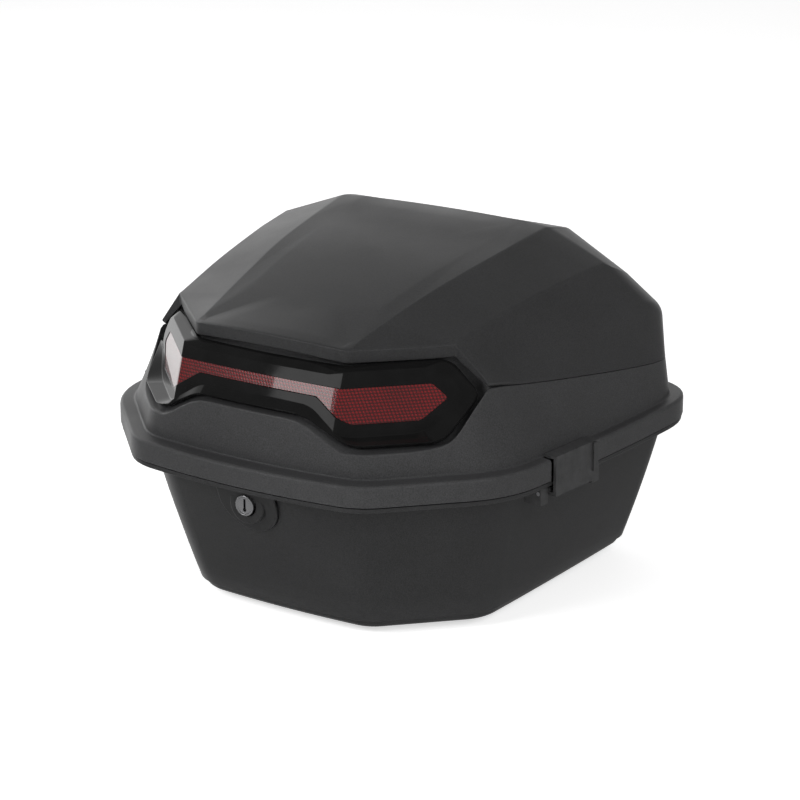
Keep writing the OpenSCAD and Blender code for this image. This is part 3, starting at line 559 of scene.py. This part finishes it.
def band(*parts):
    """A half ring from (first station, last station, function of the station), with straight links."""
    pts = []
    for s in S:
        for k, (a, b, fn) in enumerate(parts):
            if a <= s <= b:
                pts.append(np.asarray(fn(s), float))
                break
            if k and parts[k - 1][1] < s < a:
                p, q = parts[k - 1][2](parts[k - 1][1]), fn(a)
                pts.append(lerp(p, q, (s - parts[k - 1][1]) / (a - parts[k - 1][1])))
                break
    return np.array(pts)


def along(points, k):
    """A smooth run through the points, k counting from 0 at the first one."""
    table = np.array(points, float)
    return np.array([eased(k, [[j, v] for j, v in enumerate(table[:, c])]) for c in range(table.shape[1])])


def rear_edge(s):
    p = at_station(wall_rear, s)
    return [p[0], p[1], lookup(p[0], RECESS_EDGE)]


def side_edge(y):
    return [eased(y, SIDE_X), y, seam_z(y)]


def corner_edge(t):
    p = bezier([184, SIDE_END], [188.5, WALL_FRONT], [143.5, WALL_FRONT], t)
    return [p[0], p[1], seam_z(p[1])]


wall_row = band(
    (0, 8, rear_edge),
    (9, 16, lambda s: along(RECESS, s - 9)),
    (17, 21, lambda s: side_edge(lerp(RECESS[7][1], SIDE_END, (s - 16) / 6))),
    (22, 27, lambda s: corner_edge((s - 22) / 5)),
    (28, 30, lambda s: [143.5 * (1 - (s - 27) / 3), WALL_FRONT, seam_z(WALL_FRONT)]),
)
wall_top = wall_row[:, :2]


def lip_at(s, dx=1.0, dy=0.0, dz=0.0):
    p = at_station(lip, s)
    return [p[0] * dx, p[1] + dy, lip_z(p[0]) + dz]


def side_at(s, dx, dz):
    p = at_station(wall_top, s)
    return [p[0] - dx, p[1], seam_z(p[1]) + COVER_GAP + dz]


edge_row = band(
    (0, 11, lambda s: lip_at(s, 1, 0.8, -LIP_H)),
    (12, 16, lambda s: lerp(LIP_END + [-0.8, 1, -LIP_H], SEAM_START + [-2.5, 1, -0.4], (s - 12) / 4)),
    (17, 30, lambda s: side_at(s, 0, 0)),
)
brow_row = band(
    (0, 11, lambda s: lip_at(s)),
    (12, 16, lambda s: lerp(LIP_END, SEAM_START + [0, 0, 2], (s - 12) / 4)),
    (17, 30, lambda s: side_at(s, 0.6, 2)),
)


def shoulder_point(y):
    x, z = shoulder(y)
    return [x, y, z]


shoulder_row = band(
    (0, 11, lambda s: lip_at(s, 0.985, 2.2, 0.9)),
    (12, 16, lambda s: shoulder_point(101 + 2.4 * (s - 12))),
    (17, 21, lambda s: shoulder_point(lerp(118, 264, (s - 17) / 5))),
    (22, 27, lambda s: bezier(shoulder_point(275), [162, 330, 226], [118, 334, 226], (s - 22) / 5)),
    (28, 30, lambda s: [(1 - (s - 27) / 3) * 118, 334 + 1.5 * (s - 27) / 3, 226]),
)


def swell_at(k, s):
    b, c = brow_row[k], shoulder_row[k]
    if s <= 16:
        return lerp(b, c, 0.5)
    g = min(1, max(0, (b[1] - 170) / 130)) * min(1, s - 16)
    lean = lerp([0.93, 0, 0.36], [0.75, 0.45, 0.36], min(1, max(0, s - 20)))
    bulge = 9 + 5 * min(1, max(0, s - 20)) * min(1, max(0, 27 - s))
    return lerp(b, c, 0.5) + bulge * g * lean * [min(1, b[0] / 100), 1, 1]


swell_row = np.array([swell_at(k, s) for k, s in enumerate(S)])


def crease_point(y, dx=0.0):
    x, z = crease(y)
    return [x - dx, y, z]


top_row = band(
    (0, 3, lambda s: lip_at(s, 0.97, 10, 2.8)),
    (4, 8, lambda s: crease_point(54 + 1.6 * (s - 4), 1.5 * (8 - s))),
    (9, 16, lambda s: crease_point(68 + 6.5 * (s - 9))),
    (17, 21, lambda s: crease_point(lerp(128, 268, (s - 17) / 5))),
    (22, 27, lambda s: bezier(crease_point(280), [112, 318, 264], [72, 324, 256.5], (s - 22) / 5)),
    (28, 30, lambda s: [(1 - (s - 27) / 3) * 72, 324, 256.5]),
)


def panel_point(x, y):
    return [x, y, panel_z(y) - CROWN * (x / 95) ** 2]


def crest_at(s):
    f = s / 8 * 0.12 if s <= 8 else (0.12 + (s - 8) / 13 * 0.88 if s <= 21 else 1)
    y = 85 + 199 * f
    if s <= 8:
        x = 55 * s / 8
    elif s <= 21:
        x = lerp(55, 74, f)
    elif s <= 27:
        x = lerp(74, 50, max(0, s - 22) / 5)
    else:
        x = 50 * min(1, (30 - s) / 2)
    return panel_point(float(x), y)


crest_row = np.array([crest_at(s) for s in S])
POLE_R, POLE_Y = 9, 190
pole_row = np.array([
    panel_point(POLE_R * math.sin(a), POLE_Y - POLE_R * math.cos(a)) for a in (math.pi * s / 30 for s in S)
])


def panel_ring(t):
    h = lerp(crest_row, pole_row, t)
    return np.array([panel_point(p[0], p[1]) for p in h])


outer = [ring(h) for h in (edge_row, brow_row, swell_row, shoulder_row, top_row, crest_row, pole_row)]


def inner_rows():
    """The cover's inside. Behind the lip it runs straight down from the shoulder to the edge."""
    rows = list(thinned(outer, COVER_T))
    rows[0][:, 2] = outer[0][:, 2]
    k = np.minimum(np.arange(len(rows[0])), len(rows[0]) - np.arange(len(rows[0])))
    f = np.clip((S[k] - 12) / 4, 0, 1)[:, None]
    for j in (1, 2):
        rows[j] = lerp(lerp(rows[0], rows[3], 0.35 + 0.25 * j), rows[j], f)
    return rows


inner = inner_rows()
under_sides, under_top = thinned(outer, COVER_T + 3 * COVER_GAP), thinned(outer, COVER_T + COVER_GAP)
under = [under_sides[k] if k <= 2 else under_top[k] for k in range(7)]
panel = [ring(panel_ring(t)) for t in (0.25, 0.5, 0.75)]


def border_ring(t):
    """A row between the crease and the crest that lies on the crowned panel."""
    pts = []
    for a, b in zip(top_row, crest_row):
        p = lerp(a, b, t)
        gap = a[2] - panel_point(a[0], a[1])[2]
        pts.append([p[0], p[1], panel_point(p[0], p[1])[2] + (1 - t) * gap])
    return np.array(pts)


def lowered(rows, d):
    return [r - np.array([0, 0, d]) for r in rows]


border = [ring(border_ring(t)) for t in (0.2, 0.4, 0.6, 0.8)]
crown_rows = border + outer[5:6] + panel + [outer[6]]
cover = loft(
    "top_cover",
    list(reversed(list(inner[:5]) + lowered(crown_rows, COVER_T)))
    + rounded([inner[0]] + outer[:5] + border[:1], [0, 0.8, 1.2, 7, 2.2, 2.4, 0], 6)[1:]
    + crown_rows[1:],
    "lid",
)
finish_piece(even_normals(cover), "cover_plastic", "lid_cover")


# ---------------------------------------------------------------- lid shell
def shelf_at(s):
    p = at_station(wall_top, s)
    x = lookup(p[0], [[0, 0], [43.4, 45], [77.5, 78], [91.5, 86], [101.4, 97]])
    y = lookup(x, [[0, 20.5], [47, 22], [80.5, 25.5], [89, 27], [97, 35]])
    return [x, y, lookup(x, [[0, 178.2], [47, 178.2], [80.5, 160.6], [89, 159], [97, 158.6]])]


def inset_at(s, d):
    p = at_station(inset(wall_top, d), s)
    return [p[0], p[1], seam_z(at_station(wall_top, s)[1])]


def pocket_low_at(s):
    p = at_station(pocket, s)
    return [p[0], p[1], lookup(p[0], [[0, 188], [48, 188], [76, 166], [200, 166]])]


def under_at(row, s):
    return np.array([np.interp(s, S, under[row][:N, k]) for k in range(3)]) - [0, REAR_MM, 0]


shelf_row = band(
    (0, 8, shelf_at),
    (9, 16, lambda s: along(SHELF_END, s - 9)),
    (17, 30, lambda s: inset_at(s, 1)),
)
pocket_row = band(
    (0, 11, pocket_low_at),
    (12, 16, lambda s: along(POCKET_END, s - 12)),
    (17, 30, lambda s: inset_at(s, COVER_T + COVER_GAP)),
)
high_row = band(
    (0, 11, lambda s: [at_station(lip, s)[0] * 0.97, at_station(lip, s)[1] + 5.5, 212.5]),
    (12, 16, lambda s: bezier([121, 105.5, 212.5], [131, 114, 208], [141, 116, 199.5], (s - 12) / 4)),
    (17, 30, lambda s: under_at(1, s)),
)
back_row = band(
    (0, 11, lambda s: lip_at(s, 0.985, 5.2, -5)),
    (12, 16, lambda s: lerp(LIP_END + [-3.2, 5.8, -5.5], under_at(2, 16), (s - 12) / 4)),
    (17, 30, lambda s: under_at(2, s)),
)


def over_at(s):
    behind_lip = 1 - min(1, max(0, (s - 12) / 4))
    return lerp(under_at(3, s), under_at(4, s), 0.35 * behind_lip)


over_row = band((0, 30, over_at))
shell_rows = [
    ring(at_z(rim, RIM_Z)), ring(at_z(rim, RIM_TOP)), ring(at_z(foot, RIM_TOP + 0.6)), ring(wall_row),
    ring(shelf_row), ring(pocket_row), ring(high_row), ring(back_row), ring(over_row), under[4],
]
shell_rows = [eased_ring(r, 1) if k >= 3 else r for k, r in enumerate(shell_rows)]
lid_inner = list(thinned(shell_rows[2:] + [under[5], under[6]], WALL))[:-2]
skirt_z = RIM_Z + 0.6
skirt = [ring(at_z(inset(foot, WALL), skirt_z)), ring(at_z(inset(foot, 0.2), skirt_z))]
channel = [
    ring(at_z(inset(foot, 0.2), RIM_TOP - WALL)), ring(at_z(inset(rim, WALL), RIM_TOP - WALL)),
    ring(at_z(inset(rim, WALL), RIM_Z)),
]
shell = loft(
    "lid_body",
    list(reversed(lowered(crown_rows, COVER_T + COVER_GAP + WALL)))
    + rounded(list(reversed(lid_inner)), [0] + [2] * (len(lid_inner) - 2) + [0], 4)
    + skirt + channel
    + rounded([channel[-1]] + shell_rows, [0, 0.7, 3.0, 1.6, 1.3, 1.5, 2, 2, 0, 0, 0], 6)[1:]
    + lowered(crown_rows, COVER_T + COVER_GAP),
    "lid",
)


# ---------------------------------------------------------------- side clips' frame
CLIP_TURN = 6.5
CLIP_ORIGIN = (190, 162.5 + REAR_MM, 0)
CLIP_L = 53


def clip_matrix(side):
    flip = Matrix.Diagonal((side, 1, 1, 1))
    place = Matrix.Translation(Vector(CLIP_ORIGIN) * MM) @ Matrix.Rotation(-math.radians(CLIP_TURN), 4, "Z")
    return flip @ place


notch_low = (-8.8, -CLIP_L / 2 - 1.5, RIM_Z - 5)
notch_high = (21.2, CLIP_L / 2 + 1.5, RIM_TOP + 1)
notches = [box_cutter("notch", notch_low, notch_high, clip_matrix(side)) for side in (1, -1)]
notches[1].data.flip_normals()
cut(shell, notches)
finish_piece(even_normals(shell), "lid_plastic", "lid_shell")


# ---------------------------------------------------------------- tub
def arc_rows():
    turns = np.radians([0, 15, 30, 45, 60, 75])
    insets, heights = FLOOR_R * (1 - np.sin(turns)), LIFT + FLOOR_R * (1 - np.cos(turns))
    return [ring(at_z(inset(tub_floor, d), z)) for d, z in zip(insets, heights)]


pad_rows = [ring(at_z(inset(floor_pad, d), z)) for d, z in ((0.6, 0), (-0.2, 0.6), (-2, LIFT))]
outer_z = (LIFT + FLOOR_R, 25, 35, 50, 65, 80, 95, 108)
tub_outer = pad_rows + arc_rows() + [ring(tub_at(z)) for z in outer_z]
flange_top = FLANGE_Z + FLANGE_T
flange = rounded(
    [ring(tub_at(108)), ring(tub_at(FLANGE_Z)), ring(at_z(inset(rim, 1), FLANGE_Z)),
     ring(at_z(inset(rim, 1), flange_top)), ring(at_z(tub_at(FLANGE_Z, WALL)[:, :2], flange_top)),
     ring(tub_at(FLANGE_Z - 4, WALL))],
    [0, 1.2, 0.8, 0.8, 0.8, 0], 5,
)[1:-1]
tub_inner = [ring(tub_at(z, WALL)) for z in (108, 95, 80, 65, 50, 35, 25, LIFT + 12)] + [
    ring(at_z(inset(tub_floor, WALL + 2.5), LIFT + WALL + 2)),
    ring(at_z(inset(tub_floor, WALL + 7), LIFT + WALL)),
    ring(at_z(inset(floor_pad, 1), LIFT + WALL)), ring(at_z(inset(floor_pad, 3), WALL)),
]
tub = loft("tub", tub_outer + flange + tub_inner, "base")


def facing_rear(x, depth, z):
    """Puts a cylinder's axis along Y, its middle at depth behind the rear edge."""
    place = Matrix.Translation(Vector((x, REAR_MM + depth, z)) * MM)
    return place @ Matrix.Rotation(math.radians(90), 4, "X")


LOCK_BORE_R, BOLT_R = 9.3, 3.3
BOLT_X, BOLT_Y = (-75, 75), (-40, 70)
holes = [cutter("hole", LOCK_BORE_R, 40, facing_rear(0, 15, LOCK_Z))]
for bx in BOLT_X:
    for by in BOLT_Y:
        holes.append(cutter("hole", BOLT_R, 12, Matrix.Translation(Vector((bx, by, 1)) * MM)))
cut(tub, holes)
finish_piece(even_normals(tub), "tub_plastic", "base_shell")


# ---------------------------------------------------------------- reflector
# Half outlines of the frame's opening and step as (x, z) on the lens, and of its rim as (x, y, z).
# Both lobes turn back where x is LENS_TURN.
LENS_TURN = 71.4
OPENING = [[0, 193.7], [26, 193.7], [52.3, 193.7], [LENS_TURN, 181.6], [80.2, 176], [116, 176],
           [128.2, 190.7], [118.6, 201.5], [LENS_TURN, 201.5], [36, 201.5], [0, 201.5]]
BORDER = [[0, 187], [25, 187], [48, 187], [LENS_TURN, 171.9], [78.5, 167.3], [120, 167.2],
          [137.5, 190.3], [122.5, 212.5], [LENS_TURN, 213], [60, 210], [0, 210]]
EDGE = [[0, 17.2, 182], [25, 17.6, 182], [47, 18.8, 182], [76, 21.4, 166.9], [89, 23.5, 164.2],
        [134, 67, 164], [143, 102.4, 190.1], [122, 95.5, 215.3], [66, 43.3, 214], [36, 40.5, 214],
        [0, 39.5, 214]]


def lens_y(x, z):
    x = abs(x)
    return 23.8 + 0.34 * (z - 176) - 2 * (1 - min(1, x / LENS_TURN) ** 2) + max(0, x - LENS_TURN)


def softened(points, radii):
    """Rounds each inner corner, and splits the straights between them."""
    n, steps = 8, 4
    p = [np.array(q, float) for q in points]
    out = [p[0]]
    for k in range(1, len(p) - 1):
        u, v = p[k - 1] - p[k], p[k + 1] - p[k]
        a = p[k] + min(radii[k], 0.45 * np.linalg.norm(u)) * unit(u)
        b = p[k] + min(radii[k], 0.45 * np.linalg.norm(v)) * unit(v)
        out += [lerp(out[-1], a, j / steps) for j in range(1, steps)]
        out += [bezier(a, p[k], b, j / (n - 1)) for j in range(n)]
    out += [lerp(out[-1], p[-1], j / steps) for j in range(1, steps)]
    return np.array(out + [p[-1]])


def on_lens(h):
    return np.array([[p[0], lens_y(p[0], p[1]), p[1]] for p in h])


def sunk(h, d):
    h = np.array(h, float)
    turned = np.clip((np.abs(h[:, 0]) - LENS_TURN + 3) / 6, 0, 1)
    return h + d * np.column_stack([-np.sign(h[:, 0]) * 0.7 * turned, np.ones(len(h)), np.zeros(len(h))])


opening = ring(on_lens(softened(OPENING, [0, 2, 3, 2, 3, 3, 3, 3, 2, 2, 0])))
step = ring(on_lens(softened(BORDER, [0, 2, 9, 2, 9, 10, 9, 9, 2, 2, 0])))
EDGE_RADII = [0, 2, 9, 3, 9, 10, 9, 9, 6, 2, 0]
EDGE_TIP = 6


def behind_edge(k):
    """The frame's back corner under the edge's own point k."""
    return np.array(EDGE[k]) + ([0, 3, -2.5] if k < EDGE_TIP else [1, 3, 0] if k == EDGE_TIP else [0, 3, 0.5])


edge = ring(softened(EDGE, EDGE_RADII))
edge_back = ring(softened([behind_edge(k) for k in range(len(EDGE))], EDGE_RADII))
FRAME_T = 2.4
bezel_rows = rounded(
    [sunk(opening, FRAME_T), sunk(step, FRAME_T), edge_back, edge, step, opening],
    [0, 0, 0.5, 0.8, 0.7, 0.5], 4, closed=True,
)
bezel = hoop("reflector_frame", bezel_rows, "lid")
finish_piece(even_normals(bezel), "bezel_gloss", "reflector_bezel")


# Past its turn the lens runs back at 45 degrees, so its own width grows faster than x
UNFOLD = 0.414


def lens_patch(name, inset_mm, back, thick, slot, replaced):
    """A closed slab in the lens's outline: columns across, from its lower edge to its upper one."""
    reach = OPENING[6][0] - inset_mm
    a, b = 68, 75  # the columns stand closer where the lens turns
    spans = [np.linspace(0, a, 18), np.linspace(a, b, 8), np.linspace(b, reach, 22)]
    xs = np.unique(np.concatenate(spans))
    xs = np.concatenate([-xs[:0:-1], xs])
    rows_v = np.linspace(0, 1, 5)
    verts, flat = [], []
    low = [OPENING[k] for k in (0, 2, 4, 5, 6)]
    high = [OPENING[k] for k in (10, 7, 6)]
    for d in (back, back + thick):
        for x in xs:
            a, b = lookup(abs(x), low) + inset_mm, lookup(abs(x), high) - inset_mm
            b = max(b, a + 0.2)
            for f in rows_v:
                z = a + (b - a) * f
                fold = 0.45 * math.exp(-(((abs(x) - LENS_TURN) / 2.2) ** 2))
                p = sunk([[x, lens_y(x, z) + fold, z]], d)[0]
                verts.append(p + [0, REAR_MM, 0])
                run = abs(x) + UNFOLD * max(0, abs(x) - LENS_TURN)
                flat.append((math.copysign(run, x), z, 0))
    nx, nv = len(xs), len(rows_v)
    faces = []
    for layer in (0, nx * nv):
        for i in range(nx - 1):
            for j in range(nv - 1):
                a, b = layer + i * nv + j, layer + (i + 1) * nv + j
                faces.append((a, a + 1, b + 1, b))
    border_ids = (
        list(range(nv)) + [i * nv + nv - 1 for i in range(1, nx)]
        + [(nx - 1) * nv + j for j in range(nv - 2, -1, -1)] + [i * nv for i in range(nx - 2, 0, -1)]
    )
    for a, b in zip(border_ids, border_ids[1:] + border_ids[:1]):
        faces.append((a, b, b + nx * nv, a + nx * nv))
    mesh = bpy.data.meshes.new(name)
    mesh.from_pydata((np.array(verts) * MM).tolist(), [], faces)
    attr = mesh.attributes.new("flat", "FLOAT_VECTOR", "POINT")
    attr.data.foreach_set("vector", np.array(flat, np.float32).ravel())
    bm = bmesh.new()
    bm.from_mesh(mesh)
    bmesh.ops.recalc_face_normals(bm, faces=bm.faces)
    bm.to_mesh(mesh)
    bm.free()
    mesh.polygons.foreach_set("use_smooth", [True] * len(mesh.polygons))
    obj = bpy.data.objects.new(name, mesh)
    bpy.context.scene.collection.objects.link(obj)
    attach(obj, "lid")
    finish_piece(obj, slot, replaced)
    return obj


lens = lens_patch("reflector_lens_red", 0.15, 0.35, 1.5, "lens_red", "reflector_lens")
even_normals(bevelled(lens, 0.3, 2, 60))

# ---------------------------------------------------------------- lock
PAD_W, PAD_LOW, PAD_OUT = 52.0, 82.0, 2.6
PAD_TOP = FLANGE_Z - 0.1


def wall_y(z, out):
    return tub_at(z, -out)[0][1]


def pad_outline(inset_mm):
    r = PAD_W / 2 - inset_mm
    zc = PAD_LOW + PAD_W / 2
    pts = [(-r, PAD_TOP)] + [(-r, zc + (PAD_TOP - zc) * f) for f in (0.6, 0.3, 0)]
    pts += [(-r * math.cos(a), zc - r * math.sin(a)) for a in np.radians(np.arange(6, 180, 6))]
    pts += [(r, zc + (PAD_TOP - zc) * f) for f in (0, 0.3, 0.6, 1)]
    return pts


def pad_ring(inset_mm, out):
    return np.array([[x, wall_y(z, out) + REAR_MM, z] for x, z in pad_outline(inset_mm)])


pad_steps = [(0, -0.3), (0, PAD_OUT - 0.9), (0.3, PAD_OUT - 0.3), (0.9, PAD_OUT)]
pad = loft("lock_pad_plate", [pad_ring(*step_at) for step_at in pad_steps], "base")
BOSS_R, FACE_R, BARREL_R = 15.25, 8.0, 6.0
BOSS_Y, FACE_Y, BARREL_END = 12.6, 10.0, 45.9
boss_profile = [
    (9, 24), (BOSS_R, 24), (BOSS_R, BOSS_Y + 2.2), (BOSS_R - 0.25, BOSS_Y + 1.1),
    (BOSS_R - 0.8, BOSS_Y + 0.35), (BOSS_R - 1.8, BOSS_Y),
    (FACE_R + 1.7, BOSS_Y - 0.1), (FACE_R + 0.9, BOSS_Y + 0.15),
    (FACE_R + 0.45, BOSS_Y + 0.8), (FACE_R + 0.35, BOSS_Y + 3.5), (BARREL_R + 0.1, BOSS_Y + 3.5),
    (BARREL_R + 0.1, 38), (9, 38),
]
boss = lathe("lock_boss", boss_profile, (0, REAR_MM, LOCK_Z), "base")
trim = box_cutter("trim", (-30, REAR_MM, PAD_TOP), (30, REAR_MM + 60, PAD_TOP + 20))
cut(boss, [trim])
finish_piece(even_normals(pad), "lock_plastic", "lock_housing")
finish_piece(even_normals(boss), "lock_plastic", "lock_housing")

face_profile = [
    (0.01, FACE_Y + 0.9), (6.0, FACE_Y + 0.9), (6.3, FACE_Y + 0.75), (6.55, FACE_Y + 0.15), (6.9, FACE_Y),
    (7.5, FACE_Y + 0.05), (7.85, FACE_Y + 0.35), (FACE_R, FACE_Y + 0.9), (FACE_R, FACE_Y + 5.4),
    (BARREL_R - 0.01, FACE_Y + 5.4), (BARREL_R - 0.01, BARREL_END), (0.01, BARREL_END),
]
face = lathe("lock_face", face_profile, (0, REAR_MM, LOCK_Z), "lock_barrel")
face_y = REAR_MM + FACE_Y
slot_cut = box_cutter("slot", (-0.95, face_y - 2, LOCK_Z - 3.8), (0.95, face_y + 8, LOCK_Z + 5))
round_cut = cutter("round", 1.5, 16, facing_rear(0, FACE_Y, LOCK_Z - 3.4))
cut(face, [slot_cut, round_cut])
finish_piece(even_normals(face), "lock_metal", "lock_cylinder")

# ---------------------------------------------------------------- CAD nodes that stay as they are
for name, obj in nodes.items():
    if not obj.hide_render:
        obj.data.materials.clear()
        obj.data.materials.append(MATS[SLOTS[name]])
        obj.data.polygons.foreach_set("use_smooth", [True] * len(obj.data.polygons))
        bevelled(obj, 0.25 if SLOTS[name] == "steel" else 0.5, 2, 40)
        even_normals(obj)

# ---------------------------------------------------------------- floor, light and camera
FLOOR_HALF, FLOOR_Z = 6000, -0.2
floor_corners = [(x * FLOOR_HALF, y * FLOOR_HALF, FLOOR_Z) for x, y in ((-1, -1), (1, -1), (1, 1), (-1, 1))]
floor = mesh_object("floor", floor_corners, [(0, 1, 2, 3)])
floor_mat, tree, bsdf = new_material("floor_white")
coord = node(tree, "ShaderNodeTexCoord").outputs["Object"]
pale = ramp(tree, noise(tree, coord, 3, 2), [(0.3, (0.9,) * 3), (0.7, (0.93,) * 3)])
tree.links.new(pale, bsdf.inputs["Base Color"])
bsdf.inputs["Roughness"].default_value = 0.9
bsdf.inputs["Emission Color"].default_value = (1, 1, 1, 1)
bsdf.inputs["Emission Strength"].default_value = 0.6
floor.visible_glossy = False
floor.data.materials.append(floor_mat)


def softbox(name, location, target, size, watts, glossy=True):
    data = bpy.data.lights.new(name, "AREA")
    data.shape, data.size, data.size_y = "RECTANGLE", size[0], size[1]
    data.energy = watts
    obj = bpy.data.objects.new(name, data)
    obj.location = location
    obj.rotation_euler = (Vector(target) - Vector(location)).to_track_quat("-Z", "Y").to_euler()
    obj.visible_glossy = glossy
    bpy.context.scene.collection.objects.link(obj)


softbox("overhead", (-0.3, 0.2, 2.6), (0, 0, 0), (3.5, 3.5), 8, False)
softbox("left", (-2.2, 0.5, 0.9), (0, 0, 0.15), (1.8, 1.8), 7)
softbox("rear_left", (-0.7, -1.9, 1.5), (0, 0, 0.15), (0.9, 0.9), 32, False)
softbox("strip", (-1.15, -2.2, 0.95), (0, 0, 0.2), (0.35, 0.8), 3)
softbox("rear_right", (1.9, -1.0, 1.5), (0, 0, 0.15), (1.2, 1.2), 26, False)

world = bpy.data.worlds.new("studio")
bpy.context.scene.world = world
world.use_nodes = True
wt = world.node_tree
wc = wt.nodes.new("ShaderNodeTexCoord")
dot = wt.nodes.new("ShaderNodeVectorMath")
dot.operation = "DOT_PRODUCT"
dot.inputs[1].default_value = (-0.70, 0.70, -0.15)
wt.links.new(wc.outputs["Generated"], dot.inputs[0])
half_range = wt.nodes.new("ShaderNodeMath")
half_range.operation = "MULTIPLY_ADD"
half_range.inputs[1].default_value = 0.5
half_range.inputs[2].default_value = 0.5
wt.links.new(dot.outputs["Value"], half_range.inputs[0])
# Dim all round, and bright near the horizon at the front left
SKY = [(0.05, 0.24), (0.4, 0.27), (0.8, 0.17), (0.97, 1.1)]
world_ramp = ramp(wt, half_range.outputs[0], [(at, (level,) * 3) for at, level in SKY])
wt.links.new(world_ramp, wt.nodes["Background"].inputs["Color"])
wt.nodes["Background"].inputs["Strength"].default_value = 1.0

camera_data = bpy.data.cameras.new("camera")
camera_data.lens, camera_data.sensor_width = 117, 36
camera_data.clip_start, camera_data.clip_end = 0.05, 60
camera = bpy.data.objects.new("camera", camera_data)
back = Vector((0.5172, -0.7962, 0.3142))
right = Vector((0.8386, 0.5448, 0))
up = Vector((-0.1712, 0.2635, 0.9495))
target = Vector((0, REAR_MM + 183 + 3.0, 139.5)) * MM
DISTANCE, SHIFT_RIGHT, SHIFT_DOWN = 2.0266, 0.0182, 0.0014
camera.location = target + back * DISTANCE + right * SHIFT_RIGHT - up * SHIFT_DOWN
camera.rotation_euler = (math.radians(71.69), 0, math.radians(33.01))
bpy.context.scene.collection.objects.link(camera)
bpy.context.scene.camera = camera
bpy.context.scene.view_settings.view_transform = "Standard"
